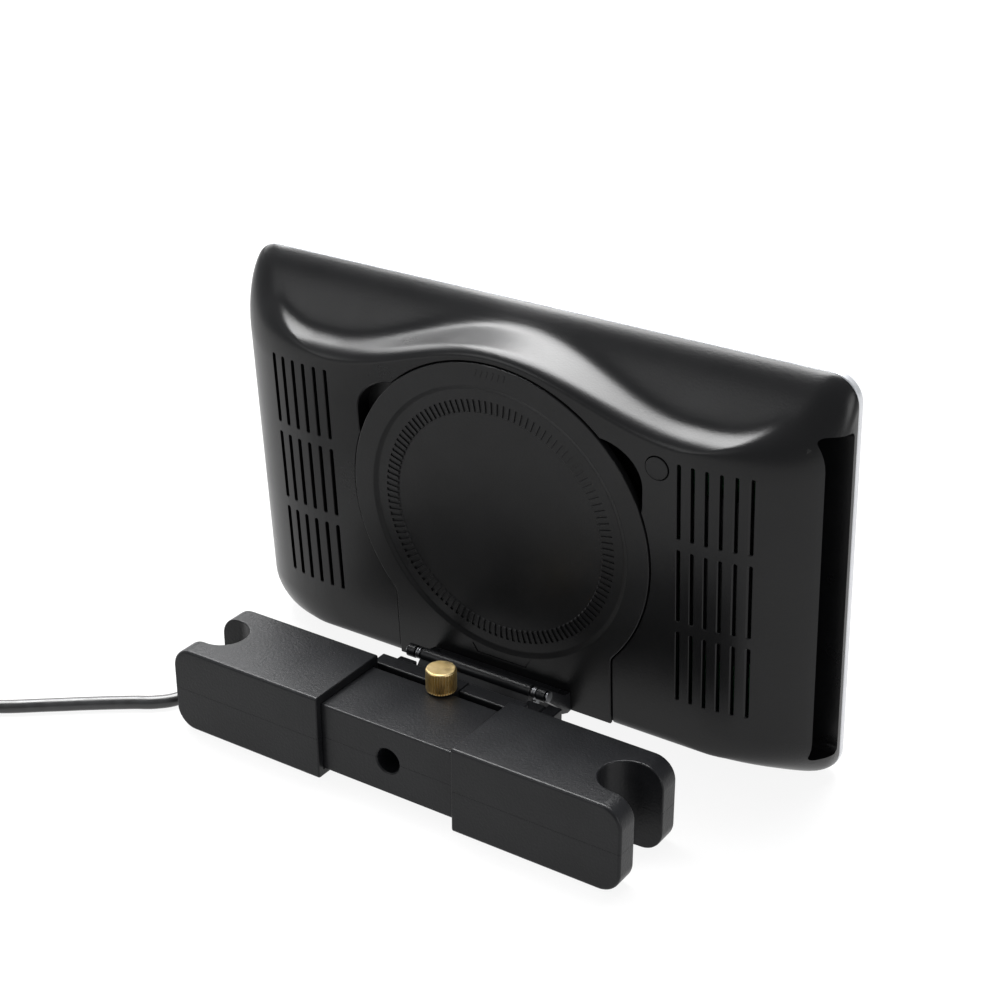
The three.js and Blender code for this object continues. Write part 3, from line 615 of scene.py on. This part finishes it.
def bottom_edge(depth):
    """The lower edge slants from the lid side down to the rim's own level."""
    slant = BOTTOM["slope"] * max(depth - BOTTOM["reach"], 0)
    edge = BOTTOM["height"] + BOTTOM["lip"] * lip(depth, BOTTOM["reach"]) - slant
    return rounded_max(HOUSING["low"], edge, BOTTOM["blend"])


def housing_ring(depth, inset=0.0, along=None):
    """The housing's outline at a depth, shrunk by an inset and laid there or along."""
    corner = HOUSING["corner"] + 5 * math.sin(math.pi * min(depth / HOUSING["shell"], 1))
    w, r, low = half_width(depth) - inset, corner - inset / 2, bottom_edge(depth) + inset
    steps, across = 10, 84
    shoulder = top_edge(w - r, depth) - inset
    spots = [(w - r) * (1 - 2 * (i + 1) / across) for i in range(across - 1)]
    outline = [*arc(-w + r, low + r, r, 180, 270, steps), *arc(w - r, low + r, r, 270, 360, steps),
               *arc(w - r, shoulder - r, r, 0, 90, steps), *[(x, top_edge(x, depth) - inset) for x in spots],
               *arc(-w + r, shoulder - r, r, 90, 180, steps)]
    return lay("y", outline, depth if along is None else along)


RING_DEPTHS = [HOUSING["rim"] * (1 - math.cos(math.radians(3.75 * i))) for i in range(25)]


def housing_body():
    last = HOUSING["shell"]
    rings = [housing_ring(depth) for depth in [*RING_DEPTHS, last - 1, last - 0.3]]
    return loft([*rings, housing_ring(last, 0.3)])


def housing_hollow():
    rings = [housing_ring(depth, SKIN, depth + SKIN - 0.4) for depth in RING_DEPTHS[3:]]
    return loft([*rings, housing_ring(HOUSING["shell"], SKIN, HOUSING["shell"] + 6)])


# ---------------- housing: back shell
def keyhole(grow=0.0):
    """The lid's outline: a circle on a straight foot, with a fillet where they meet."""
    r, foot, fillet = LID["radius"] + grow, LID["foot"] + grow, LID["fillet"] - grow
    middle = LID["h"] - math.sqrt((r + fillet) ** 2 - (foot + fillet) ** 2)
    lean = math.degrees(math.atan2(LID["h"] - middle, foot + fillet))
    low = LID["low"] - grow
    right = arc(foot + fillet, middle, fillet, 180, 180 - lean, 6)
    left = [(-x, y) for x, y in reversed(right)]
    return [(-foot, low), (foot, low), *right, *arc(0, LID["h"], r, -lean, 180 + lean, 160)[1:-1], *left]


def scoop_outline(side, grow):
    """A finger recess beside the lid, with a wide sweep at its outer top corner."""
    low, top, inner, outer = SCOOP["low"] - grow, SCOOP["top"] + grow, SCOOP["x0"] - grow, SCOOP["x1"] + grow
    sweep = [(outer - 18 * (1 - math.cos(a)), top - 15 * (1 - math.sin(a)))
             for a in (math.radians(5 * i) for i in range(19))]
    outline = [(inner, low), *arc(outer - 6, low + 6, 6, 270, 350, 8), *sweep, (inner, top)]
    return [(side * x, y) for x, y in outline]


def scoop(side, grow, top, bottom, chamfer=0.0):
    """The recess as a solid, with a chamfered mouth if asked."""
    if chamfer:
        return well("y", lambda more: scoop_outline(side, grow + more), top, bottom, chamfer)
    return prism("y", scoop_outline(side, grow), (top, bottom))


def slot_cutters():
    """Three rows of upright slots on each side of the lid."""
    cutters = []
    half = SLOTS["width"] / 2
    for side in (-1, 1):
        for column in range(SLOTS["columns"]):
            x = side * (SLOTS["first"] + column * SLOTS["pitch"])
            top = surface_depth(x)
            for row in range(SLOTS["rows"]):
                low = SLOTS["low"] + row * SLOTS["step"]

                def outline_at(grow, x=x, low=low):
                    return rounded(x - half, x + half, low, low + SLOTS["length"], 0.55, 3, grow)

                cutters.append(well("y", outline_at, top, top + 3.4, 0.22))
    return merged(cutters)


def bay_block(grow, x):
    """The socket bay in the housing's side, grown by its wall or not."""
    outline = rounded(BAY["d0"], BAY["d1"], BAY["low"], BAY["top"], BAY["round"], 6, grow)
    return prism("x", outline, x)


def back_shell():
    """The hollow back, with the lid's seat, the bay, the scoops and the slots cut into it."""
    outer = housing_body()
    inner_parts = [
        bay_block(BAY["wall"], (BAY["x"] - BAY["wall"], 130)),
        rod("y", LID["radius"] + 2.2, (1, 5.5), LID_CENTRE, steps=128),
        block((-50.5, 50.5), (1, LID_HINGE["floor"] + 1.8), (-2, 36)),
        *[scoop(side, SCOOP["wall"], 1, SCOOP["floor"] + 1.6) for side in (-1, 1)],
    ]
    inside = join(inner_parts[0], *inner_parts[1:])
    combine(inside, "INTERSECT", [outer], keep=[outer])
    shell = join(cut(outer, housing_hollow()), inside)
    foot = LID["foot"] + LID["clear"]
    cutters = [
        well("y", lambda grow: keyhole(LID["clear"] + grow), 0, 2.8, 0.3),
        block((-foot, foot), (-2, LID_HINGE["floor"]), (-8, 34)),
        rod("x", LID_HINGE["pocket"], (-foot, foot), LID_AXIS),
        rod("y", LID["radius"] + LID["clear"], (-3, 12), LID_CENTRE, steps=160),
        bay_block(0, (BAY["x"], 135)),
        block((BAY["x"] - 4, BAY["x"] + 1), (15.4, 23), (34, 116)),
        well("y", lambda grow: circle(BUTTON["x"], BUTTON["h"], BUTTON["hole"] + grow, 48), 0, 8, 0.15),
        rod("x", 1.5, (-LID_HINGE["ear"], LID_HINGE["ear"]), LID_AXIS),
        *[scoop(side, 0, 0, SCOOP["floor"], 0.35) for side in (-1, 1)],
        slot_cutters(),
    ]
    return cut(shell, *cutters)


# ---------------- housing: disc lid
def lid_ticks():
    """Short radial notches, open towards the sunk middle of the lid."""
    notches = []
    reach = (DIAL["tick_in"] * LID["radius"] - 1, DIAL["tick_out"] * LID["radius"])
    depths = (LID["out"] - 1, LID["out"] + DIAL["sink"] + 0.45)
    for i in range(DIAL["ticks"]):
        notch = block(reach, depths, (-0.6, 0.6))
        turn = Matrix.Rotation(math.tau * (i + 0.5) / DIAL["ticks"], 4, "Y")
        notch.data.transform(Matrix.Translation((0, 0, LID["h"])) @ turn)
        notches.append(notch)
    return merged(notches)


def tab_groove():
    """A cutter that traces a small pull tab under the ring."""
    line = [(-12.4, 25), (-10.4, 21.6), (10.4, 21.6), (12.4, 25)]
    half = 0.22
    inner = [(x * (1 - half / 12), y + half) for x, y in line]
    outer = [(x * (1 + half / 12), y - half) for x, y in line]
    return prism("y", [*outer, *reversed(inner)], (LID["out"] - 1, LID["out"] + 0.35))


def lid_mark():
    """A plain hatch of short raised ribs near the top of the lid."""
    ribs = []
    for i in range(6):
        x = (i - 2.5) * 2.3
        outline = [(x - 0.9, 134.6), (x - 0.35, 134.6), (x + 0.55, 137.2), (x, 137.2)]
        ribs.append(prism("y", outline, (LID["out"] - 0.14, LID["out"] + 0.3)))
    return merged(ribs)


def disc_lid():
    """A plate with a sunk middle, a hinge barrel, a centre ring and holes for the arm's screws."""
    radius, face = LID["radius"], LID["out"]
    plate = soften(prism("y", keyhole(), (face, LID["inside"])), 0.4)
    step, tick = DIAL["step"] * radius, DIAL["tick_in"] * radius
    sunk = face + DIAL["sink"]
    slope = [(face - 2, step + 0.6), (face, step + 0.6), (face + 0.15, step + 0.1), (sunk - 0.15, step - 1.1),
             (sunk, step - 1.8)]
    plate = cut(
        plate,
        turned("y", LID_CENTRE, slope, 160),
        turned("y", LID_CENTRE, [(face - 2, tick), (sunk, tick), (sunk + 0.5, tick - 0.5)], 160),
        block((-60, 60), (0.6, 5), (0, 13)),
    )
    plate = cut(plate, lid_ticks(), tab_groove())
    ring = cut(rod("y", 10.5, (LID["inside"] - 0.5, LID["inside"] + 0.9), LID_CENTRE, 0.2),
               rod("y", 8.6, (LID["inside"], LID["inside"] + 3), LID_CENTRE))
    barrel = rod("x", LID_HINGE["radius"], (-LID["foot"], LID["foot"]), LID_AXIS, 0.3)
    plate = join(plate, barrel, ring, lid_mark())
    bores = [rod("y", 1.65, (-3, 1.9), (x, ARM_SCREWS["h"]), steps=32) for x in ARM_SCREWS["x"]]
    return cut(plate, rod("x", LID_HINGE["pin_hole"], (-60, 60), LID_AXIS, steps=32), *bores)


# ---------------- housing: tilt arm on the lid
def mount_arm():
    """A plate screwed to the lid's foot, with a cheek at each end that takes the tilt pin."""
    d, h = TILT_AXIS
    cheek = [(d - 1.7, h - 1.7), (d + 0.4, h - 2.4), (-3, 9.8), (-0.9, 9.8), (-0.9, 17.5), (-5, 18.6),
             (d + 1.4, h + 1.9)]
    plate = [(-6.4, 11.4), (-3, 9.8), (-0.9, 9.8), (-0.9, 17.5), (-5.2, 18), (-6.4, 16.4)]
    arm = prism("x", plate, (-TILT["cheek_out"], TILT["cheek_out"]))
    for side in (-1, 1):
        span = sided(side, TILT["cheek_in"], TILT["cheek_out"])
        arm = join(arm, prism("x", cheek, span), rod("x", TILT["radius"], span, (d, h)))
    arm = soften(arm, 0.35)
    holes = [rod("y", 1.7, (-10, 3), (x, ARM_SCREWS["h"]), steps=32) for x in ARM_SCREWS["x"]]
    return cut(arm, rod("x", TILT["pin"] + 0.3, (-40, 40), (d, h), steps=48), *holes)


def tilt_pin():
    """The pin through both cheeks, with a head on its right end."""
    pin = rod("x", TILT["pin"], (-30.4, 30), TILT_AXIS, 0.3)
    return join(pin, turned("x", TILT_AXIS, [(29.8, 1.8), (30.1, 2.1), (30.5, 2.1), (30.8, 1.7)]))


def friction_ring(side):
    """A grooved washer between the carrier's barrel and a cheek."""
    ring = rod("x", 2.2, sided(side, 24, 25.8), TILT_AXIS, 0.2)
    groove = cut(rod("x", 4, sided(side, 24.75, 25.05), TILT_AXIS),
                 rod("x", 2, sided(side, 24, 26), TILT_AXIS))
    return cut(ring, groove, rod("x", TILT["pin"] + 0.3, (-40, 40), TILT_AXIS))


def pan_screw(axis, centre, head, foot, shank=1.4, radius=2.6):
    """A screw with a domed, cross-recessed head. head and foot are its ends along the axis."""
    sign = 1 if foot > head else -1
    dome = [(head, 0.8), (head + sign * 0.12, 1.5), (head + sign * 0.5, radius - 0.3)]
    dome += [(head + sign * 1.1, radius), (head + sign * 1.9, radius), (head + sign * 1.95, shank)]
    dome += [(foot - sign * 0.8, shank), (foot, shank - 0.6)]
    screw = turned(axis, centre, dome, 32)
    low, high = sorted((head - sign, head + sign * 1.0))
    for wide, thin in ((1.5, 0.28), (0.28, 1.5)):
        a, b = (centre[0] - wide, centre[0] + wide), (centre[1] - thin, centre[1] + thin)
        screw = cut(screw, block(a, b, (low, high)) if axis == "z" else block(a, (low, high), b))
    return screw


# ---------------- housing: disc drive under the lid
def disc_tray():
    """The cup under the lid, with the sled's window, the spindle's hole and two ring grooves."""
    radius = LID["radius"] + LID["clear"] - 0.25
    cup = turned("y", LID_CENTRE, [(2.9, radius - 0.3), (3.2, radius), (11.8, radius)], 160)
    inside = [(2, radius - 1.5), (9.6, radius - 1.6), (10.2, radius - 2.2)]
    cup = cut(cup, turned("y", LID_CENTRE, inside, 160))
    foot = LID["foot"] + 1
    cutters = [block((-foot, foot), (0, LID_HINGE["floor"] + 2.1), (-5, 36.5)),
               rod("y", 2.3, (5, 15), LID_CENTRE), prism("y", rounded(-9.4, 9.4, 32.6, 68, 1), (5, 15))]
    cutters += [scoop(side, SCOOP["wall"] + 0.3, 0, SCOOP["floor"] + 2) for side in (-1, 1)]
    rings = [cut(rod("y", r + 0.4, (9.7, 10.6), LID_CENTRE, steps=128),
                 rod("y", r - 0.4, (9, 11), LID_CENTRE, steps=128)) for r in (22, 40)]
    return cut(cut(cup, *cutters), *rings)


def spindle_hub():
    """The turntable: a plate with a bevelled rim and a domed hub with three spring catches."""
    dome = [(4.6, 5.4), (4.8, 6.5), (5.2, 7.1), (6.2, 7.3)]
    plate = [(6.3, 11.6), (6.6, 12), (7.3, 12), (7.6, 11.6)]
    shaft = [(7.7, 1.5), (13.3, 1.5), (13.6, 1.2)]
    hub = turned("y", LID_CENTRE, [*dome, *plate, *shaft], 96)
    hub = cut(hub, rod("y", 2.2, (4, 5.6), LID_CENTRE))
    catches = []
    for i in range(3):
        catch = block((5.6, 7.7), (5.3, 5.9), (-1, 1))
        catch.data.transform(Matrix.Translation((0, 0, LID["h"])) @ Matrix.Rotation(math.tau * i / 3, 4, "Y"))
        catches.append(catch)
    return join(hub, merged(catches))


def laser_sled():
    """The pickup: a flat carriage with a raised lens."""
    sled = soften(block((-8.4, 8.4), (8.4, 12.6), (54, 64.5)), 0.5)
    lens = turned("y", (0, 59.5), [(7.4, 1.9), (7.6, 2.7), (7.9, 3), (9, 3)])
    return cut(join(sled, lens), turned("y", (0, 59.5), [(7, 1.9), (7.8, 1.6)]))


# ---------------- housing: screen side
def rim_outline(inset):
    """The housing's widest outline, shrunk by an inset."""
    half = HOUSING["half"]
    return rounded(-half, half, HOUSING["low"], HOUSING["top"], HOUSING["corner"], 10, -inset)


def window_outline(grow):
    """The screen's opening, grown outwards on all sides."""
    return rounded(-WINDOW["half"], WINDOW["half"], WINDOW["low"], WINDOW["top"], WINDOW["round"], 4, grow)


def frame_ring(profile):
    """A closed strip round the housing from (inset, depth) pairs of its section."""
    rings = [lay("y", rim_outline(inset), depth) for inset, depth in profile]
    return loft(rings, loop=True)


def silver_trim():
    start, end = HOUSING["shell"] + 0.3, HOUSING["thick"]
    return frame_ring([(2.5, start), (0.3, start), (0, start + 0.3), (0, end - 1.3), (0.25, end - 0.6),
                       (0.9, end - 0.1), (1.4, end), (2.2, end), (2.5, end - 0.3)])


def front_bezel():
    """The front frame, with a bevelled window and a hole for each key."""
    bezel = soften(prism("y", rim_outline(2.8), (28.6, HOUSING["thick"])), 0.3)
    holes = [rod("y", 2.85, (20, 40), (x, KEY_HEIGHT), steps=48) for x in KEY_PLACES.values()]
    bevel = [(0, 20), (0, 30.2), (1.2, 31.4)]
    window_cut = loft([lay("y", window_outline(grow), depth) for grow, depth in bevel])
    return cut(bezel, window_cut, *holes)


def front_key(x):
    """A round key with a shallow finger dish."""
    return turned("y", (x, KEY_HEIGHT), [(27.4, 2.6), (31.3, 2.6), (31.55, 2.35), (31.6, 2), (31.3, 0.6)], 48)


def screen_glass():
    edge = 0.3
    return soften(prism("y", window_outline(-edge), (29.4, HOUSING["thick"] - edge)), 0.2)


# ---------------- housing: sockets and button
def port_plate():
    """The plate behind the bay's floor, with an opening for each socket and jack."""
    plate = prism("x", rounded(14.6, 24, 30, 120, 1.5, 6), (104.9, 106.9))
    for d, h in SOCKETS.values():
        plate = cut(plate, block((100, 112), (d[0] - 0.3, d[1] + 0.3), (h[0] - 0.3, h[1] + 0.3)))
    return cut(plate, *[rod("x", 3.4, (100, 112), (JACK_DEPTH, h), steps=48) for h in JACKS.values()])


def metal_socket(d, h):
    """A folded steel can with a flat tongue inside."""
    can = soften(block((100, 108.6), d, h), 0.25)
    mouth = block((103, 112), (d[0] + 0.7, d[1] - 0.7), (h[0] + 0.7, h[1] - 0.7))
    tongue_d = (d[0] + d[1]) / 2
    tongue = block((102, 107.6), (tongue_d - 0.6, tongue_d + 0.6), (h[0] + 1.4, h[1] - 1.4))
    return join(cut(can, mouth), tongue)


def round_jack(h):
    barrel = turned("x", (JACK_DEPTH, h), [(100, 3.1), (108.2, 3.1), (108.6, 2.7)], 48)
    return cut(barrel, turned("x", (JACK_DEPTH, h), [(102, 1.8), (108.2, 1.8), (109, 2.5)], 48))


def release_button():
    centre, radius = (BUTTON["x"], BUTTON["h"]), BUTTON["radius"]
    return turned("y", centre, [(-0.5, 1), (-0.5, radius - 0.3), (-0.35, radius), (5, radius)], 64)


def add_housing():
    def add(obj, node_name, body, slot, sharp=38):
        refine(obj, node_name, body, slot, HOUSING_FRAME, sharp)

    add(back_shell(), "back_shell", "housing", "housing_plastic", 30)
    add(disc_lid(), "disc_lid", "lid", "lid_plastic", 30)
    add(mount_arm(), "mount_arm", "lid", "bracket_plastic")
    add(tilt_pin(), "tilt_pin", "lid", "steel")
    for side, word in ((-1, "left"), (1, "right")):
        add(friction_ring(side), f"friction_ring_{word}", "lid", "steel")
    for i, x in enumerate(ARM_SCREWS["x"]):
        add(pan_screw("y", (x, ARM_SCREWS["h"]), -8.3, 1.6), f"arm_screw_{i + 1}", "lid", "steel")
    add(disc_tray(), "disc_tray", "housing", "lid_plastic")
    add(spindle_hub(), "spindle_hub", "spindle", "steel")
    add(laser_sled(), "laser_sled", "laser_sled", "steel")
    add(silver_trim(), "silver_trim", "housing", "silver_trim")
    add(front_bezel(), "front_bezel", "housing", "housing_plastic")
    add(screen_glass(), "screen_glass", "housing", "screen_glass")
    for name, x in KEY_PLACES.items():
        add(front_key(x), name, name, "housing_plastic")
    add(port_plate(), "port_plate", "housing", "dark_parts")
    for name, (d, h) in SOCKETS.items():
        add(metal_socket(d, h), name, "housing", "steel")
    for name, h in JACKS.items():
        add(round_jack(h), name, "housing", "dark_parts")
    add(release_button(), "release_button", "release_button", "lid_plastic")


# ---------------- bracket: sleeves
def halves(body):
    """The lower and the upper half of a moulded body, a hairline apart."""
    upper = copy_of(body)
    everywhere = (-200, 200)
    lower = shared(body, block(everywhere, everywhere, (-20, SEAM_Z - SEAM)))
    return lower, shared(upper, block(everywhere, everywhere, (SEAM_Z + SEAM, 60)))


def sleeve_screw_places(side):
    x, from_edge = side * SLEEVE_SCREWS["x"], SLEEVE_SCREWS["from_edge"]
    return [(x, SLEEVE["front"] + from_edge), (x, SLEEVE["back"] - from_edge)]


def sleeve(side):
    """A hollow sleeve with a rounded outer end and a notch for the headrest's post."""
    r, height, outer = SLEEVE["end_round"], SLEEVE["height"], SLEEVE["outer"]
    elevation = [(0, 0), *arc(outer - r, r, r, 270, 360, 14), *arc(outer - r, height - r, r, 0, 90, 14),
                 (0, height)]
    body = prism("y", [(side * x, z) for x, z in elevation], (SLEEVE["front"], SLEEVE["back"]))
    inner_end = block(sided(side, -20, SLEEVE["inner"]), (-60, -10), (-5, 40))
    body = cut(soften(body, SLEEVE["edge"], 4), inner_end)
    y, reach = NOTCH["y"], NOTCH["radius"]
    plan = [(outer + 5, y + reach), *arc(NOTCH["apex"] + reach, y, reach, 90, 270, 28),
            (outer + 5, y - reach)]
    body = cut(body, prism("z", [(side * x, y) for x, y in plan], (-1, height + 1)))
    body = soften(body, 0.6, 3)
    hollow = block(sided(side, SLEEVE["inner"] - 2, SLEEVE["hollow_end"]),
                   (SLEEVE["front"] + SLEEVE["wall"], SLEEVE["back"] - SLEEVE["wall"] - 0.1),
                   (BEAM["low"] - 0.3, height - SLEEVE["roof"]))
    bores = []
    for spot in sleeve_screw_places(side):
        bores += [rod("z", 1.7, (-1, 24), spot, steps=24),
                  well("z", lambda grow, p=spot: circle(*p, 2.9 + grow, 32), 0, 2.8, 0.2)]
    return cut(body, hollow, *bores)


def add_sleeves():
    for side, word in ((-1, "left"), (1, "right")):
        body_name = f"{word}_sleeve"
        for half, part in zip(("lower", "upper"), halves(sleeve(side))):
            refine(part, f"{body_name}_{half}", body_name, "bracket_plastic", sharp=30)
        for i, spot in enumerate(sleeve_screw_places(side)):
            refine(pan_screw("z", spot, 0.6, 22), f"{body_name}_screw_{i + 1}", body_name, "steel")


# ---------------- bracket: beam between the sleeves
def beam():
    """The hollow beam: screw posts inside, a web to the rail behind and a deep bore in its front."""
    half, front, back, low, top, wall = (BEAM[key] for key in ("half", "front", "back", "low", "top", "wall"))
    body = soften(block((-half, half), (front, back), (low, top)), 0.7, 4)
    web = soften(block((WEB["x0"], WEB["x1"]), (back - 1.5, WEB["back"]), (WEB["low"], top)), 0.3)
    hollow = block((-half + wall, half - wall), (front + wall, back - wall), (low + wall, top - wall))
    body = cut(body, hollow)
    floor = HIDDEN_SCREW["floor"]
    tube = rod("y", HIDDEN_SCREW["bore"] + 1.6, (front + 1, floor + 2.5), BORE_CENTRE)
    posts = [rod("z", 3.6, (low + 0.5, top - 0.5), spot, steps=48) for spot in BLOCK_SCREWS]
    body = join(body, web, tube, *posts)
    mouth = well("y", lambda grow: circle(*BORE_CENTRE, HIDDEN_SCREW["bore"] + grow, 64), front, floor, 0.45)
    cutters = [rod("z", KNOB["stud"] + 0.35, (20, 32), KNOB_CENTRE, steps=48),
               block((WEB["x0"], WEB["x1"]), (-30, back + 1), (13.4, WEB["low"])), mouth,
               rod("y", 1.9, (floor - 1, floor + 4), BORE_CENTRE, steps=32)]
    for spot in BLOCK_SCREWS:
        cutters += [rod("z", 1.7, (0, 24), spot, steps=24), rod("z", 2.9, (0, 5.2), spot, steps=32)]
    return cut(body, *cutters)


def carrier_screw():
    """A hexagon-socket screw at the bottom of the bore, which ties the hinge carrier to the beam."""
    top = HIDDEN_SCREW["floor"] - 2.8
    head = [(top, 2.9), (top + 0.3, 3.3), (top + 0.5, 3.4), (top + 2.2, 3.4), (top + 2.5, 3.2)]
    shank = [(top + 2.55, 1.5), (-24.8, 1.5), (-24, 0.8)]
    screw = turned("y", BORE_CENTRE, [*head, *shank])
    return cut(screw, rod("y", 1.5, (top - 2, top + 1.2), BORE_CENTRE, steps=6))


def add_beam():
    lower, upper = halves(beam())
    refine(lower, "block_lower", "bracket", "bracket_plastic", sharp=30)
    refine(upper, "block_upper", "bracket", "bracket_plastic", sharp=30)
    for i, spot in enumerate(BLOCK_SCREWS):
        refine(pan_screw("z", spot, 3.1, 22), f"block_screw_{i + 1}", "bracket", "steel")
    refine(carrier_screw(), "carrier_screw", "bracket", "steel")


# ---------------- bracket: hinge carrier, thumb screw and gland
def hinge_carrier():
    """The rail behind the beam, with a leaf and a neck that carry the barrel of the tilt hinge."""
    half, back = LEAF["half"], LEAF["back"]
    rail = block((-RAIL["half"], RAIL["half"]), (RAIL["front"], RAIL["back"]), (RAIL["low"], RAIL["top"]))
    rail = soften(rail, 0.6, 4)
    rail = cut(rail, block((WEB["x0"] - 0.3, WEB["x1"] + 0.3), (-30, 0), (WEB["low"] - 0.3, 40)))
    tongue = block((-4, 6), (-26.5, RAIL["front"] + 1), (14, WEB["low"] - 0.3))
    plan = [(-half, RAIL["back"] - 1), (half, RAIL["back"] - 1), (half, -4), (half - 4, back),
            (-half + 4, back), (-half, -4)]
    leaf = soften(prism("z", plan, (LEAF["low"], LEAF["top"])), 0.5)
    low, top = LEAF["low"], LEAF["top"]
    section = [(-5, low), (1.2, low), (5.4, 22), (1.9, 23.2), (-1, top), (-5, top)]
    neck = prism("x", section, (-LEAF["neck"], LEAF["neck"]))
    barrel = rod("x", TILT["radius"], (-LEAF["neck"], LEAF["neck"]), TILT_AXIS_ROW, 0.35)
    lips = [soften(block(sided(side, 24, 31.4), (-9, 0.8), (17, 22.4)), 0.5) for side in (-1, 1)]
    ear = soften(block((31, 36.5), (-9, 3.2), (17, 21.8)), 0.5)
    body = join(rail, tongue, leaf, neck, barrel, *lips, ear)
    return cut(body, rod("x", TILT["pin"] + 0.08, (-40, 40), TILT_AXIS_ROW, steps=48),
               rod("z", 3.6, (14.9, 30), KNOB_CENTRE),
               rod("y", 1.8, (-30, -23.5), BORE_CENTRE, steps=32),
               rod("x", 2.6, (-40, -RAIL["half"] + 4), CORD_EXIT, steps=48))


def thread_insert():
    """The brass bush in the carrier that the thumb screw turns in, with a groove round its middle."""
    lower_ring = [(15.2, 3.1), (15.4, 3.3), (18.9, 3.3), (19.1, 3)]
    upper_ring = [(19.9, 3), (20.1, 3.3), (23.6, 3.3), (23.8, 3.1)]
    insert = turned("z", KNOB_CENTRE, [*lower_ring, *upper_ring])
    return cut(insert, rod("z", KNOB["stud"] + 0.15, (10, 30), KNOB_CENTRE, steps=48))


def ribbed(radius, depth):
    """A circle with narrow grooves between flat ribs."""
    pattern = (0, 0, 0.75, 1, 1, 0.75)
    count = KNOB["ribs"] * len(pattern)
    points = []
    for i in range(count):
        angle = math.tau * i / count
        r = radius - depth * pattern[i % len(pattern)]
        points.append((KNOB["x"] + r * math.cos(angle), KNOB["y"] + r * math.sin(angle)))
    return points


def thumb_screw():
    """A knurled brass head with a shallow dish, on a threaded stud."""
    low, top, r, stud = KNOB["low"], KNOB["top"], KNOB["radius"], KNOB["stud"]
    section = [(low, r - 0.5, 0), (low + 0.3, r - 0.15, 0.02), (low + 0.6, r, 0.6), (top - 0.8, r, 0.6),
               (top - 0.5, r - 0.12, 0.1), (top - 0.3, r - 0.3, 0), (top - 0.05, r - 0.55, 0),
               (top, r - 0.7, 0)]
    head = loft([lay("z", ribbed(radius, depth), along) for along, radius, depth in section])
    dish = turned("z", KNOB_CENTRE, [(top - 0.18, r - 2.2), (top, r - 1.7), (top + 0.2, r - 1.5)], 96)
    thread = [(low + 1, stud - 0.35), (low - 1.2, stud - 0.35), (low - 1.3, stud)]
    along, pitch = low - 1.5, 0.8
    while along > 16.4:
        thread += [(along, stud), (along - 0.3, stud - 0.3), (along - 0.4, stud - 0.3), (along - 0.7, stud)]
        along -= pitch
    thread += [(15.9, stud - 0.4), (15.4, stud - 0.9)]
    return join(cut(head, dish), turned("z", KNOB_CENTRE, thread, 48))


def cord_gland():
    """The cord's strain relief: a collar on the rail and a ribbed sleeve that tapers to the cord."""
    end = -RAIL["half"]
    profile = [(end + 3, 2.1), (end + 2.8, 2.3), (end - 0.3, 2.3)]
    profile += [(end - 0.3, 3.1), (end - 0.5, 3.4), (end - 2.8, 3.4), (end - 3, 3.2)]
    for i in range(5):
        along = end - 3.2 - i * 1.5
        r = 3.15 - 0.09 * i
        profile += [(along, r - 0.35), (along - 0.35, r - 0.35), (along - 0.5, r), (along - 1.2, r),
                    (along - 1.35, r - 0.3)]
    profile += [(-41.8, 2.68), (-42, 2.58)]
    return turned("x", CORD_EXIT, profile)


def add_carrier():
    refine(hinge_carrier(), "hinge_carrier", "bracket", "bracket_plastic", sharp=30)
    refine(thread_insert(), "thread_insert", "bracket", "brass")
    refine(thumb_screw(), "thumb_screw", "thumb_screw", "brass", sharp=30)
    refine(cord_gland(), "cord_gland", "bracket", "cord_rubber")


# ---------------- stage and light
def add_floor():
    """A white sweep that glows a little more away from the object, so that it stays white."""
    material, tree, shader = new_material("floor", Base_Color=(0.05, 0.05, 0.05, 1), Roughness=0.7,
                                          Emission_Color=(1, 1, 1, 1))
    places = tree.nodes.new("ShaderNodeTexCoord")
    reach = tree.nodes.new("ShaderNodeVectorMath")
    reach.operation = "LENGTH"
    tree.links.new(places.outputs["Object"], reach.inputs[0])
    glow = spread(tree, reach.outputs["Value"], 0.9, 1, 0.25, 1.2)
    tree.links.new(glow, shader.inputs["Emission Strength"])
    relief(tree, shader, noise(tree, 30, 3), 0.02, 0.001)
    floor = block((-6000, 6000), (-6000, 6000), (-20, 0))
    floor.name = "floor"
    floor.data.transform(ROW_FRAME)
    floor.data.materials.append(material)


def add_light(name, spot, aim, size, power):
    """An area light at a spot, in metres, turned towards its aim; power is in watts."""
    data = bpy.data.lights.new(name, "AREA")
    data.shape = "RECTANGLE"
    data.size, data.size_y = size
    data.energy = power
    light = add_object(name, data)
    light.location = spot
    light.rotation_euler = (Vector(aim) - Vector(spot)).to_track_quat("-Z", "Y").to_euler()


def add_studio():
    """Soft light: a large panel above and behind, and small ones that lift the sides and the front."""
    world = bpy.data.worlds.new("studio")
    world.use_nodes = True
    set_sockets(world.node_tree.nodes["Background"], {"Color": (0.95, 0.97, 1, 1), "Strength": 0.4})
    bpy.context.scene.world = world
    bpy.context.scene.view_settings.view_transform = "Standard"
    add_light("overhead", (-0.4, 0.55, 1.4), (-0.1, 0.1, 0.1), (1.4, 1.1), 100)
    add_light("left", (-1.4, 0.5, 0.8), (0, 0, 0.08), (0.7, 0.7), 10)
    add_light("backdrop", (-1.1, 1.5, 0.75), (-0.05, 0, 0.05), (1.0, 0.6), 6)
    add_light("front", (-1.1, -1.7, 1.1), (0, 0.05, 0.1), (1.2, 0.8), 8)
    add_light("right", (1.6, -0.2, 0.5), (0.1, 0.05, 0.08), (0.7, 0.7), 7)


# ---------------- assembly
add_camera()
finish_cad_nodes()
add_cord(add_plug())
add_housing()
add_sleeves()
add_beam()
add_carrier()
add_floor()
add_studio()
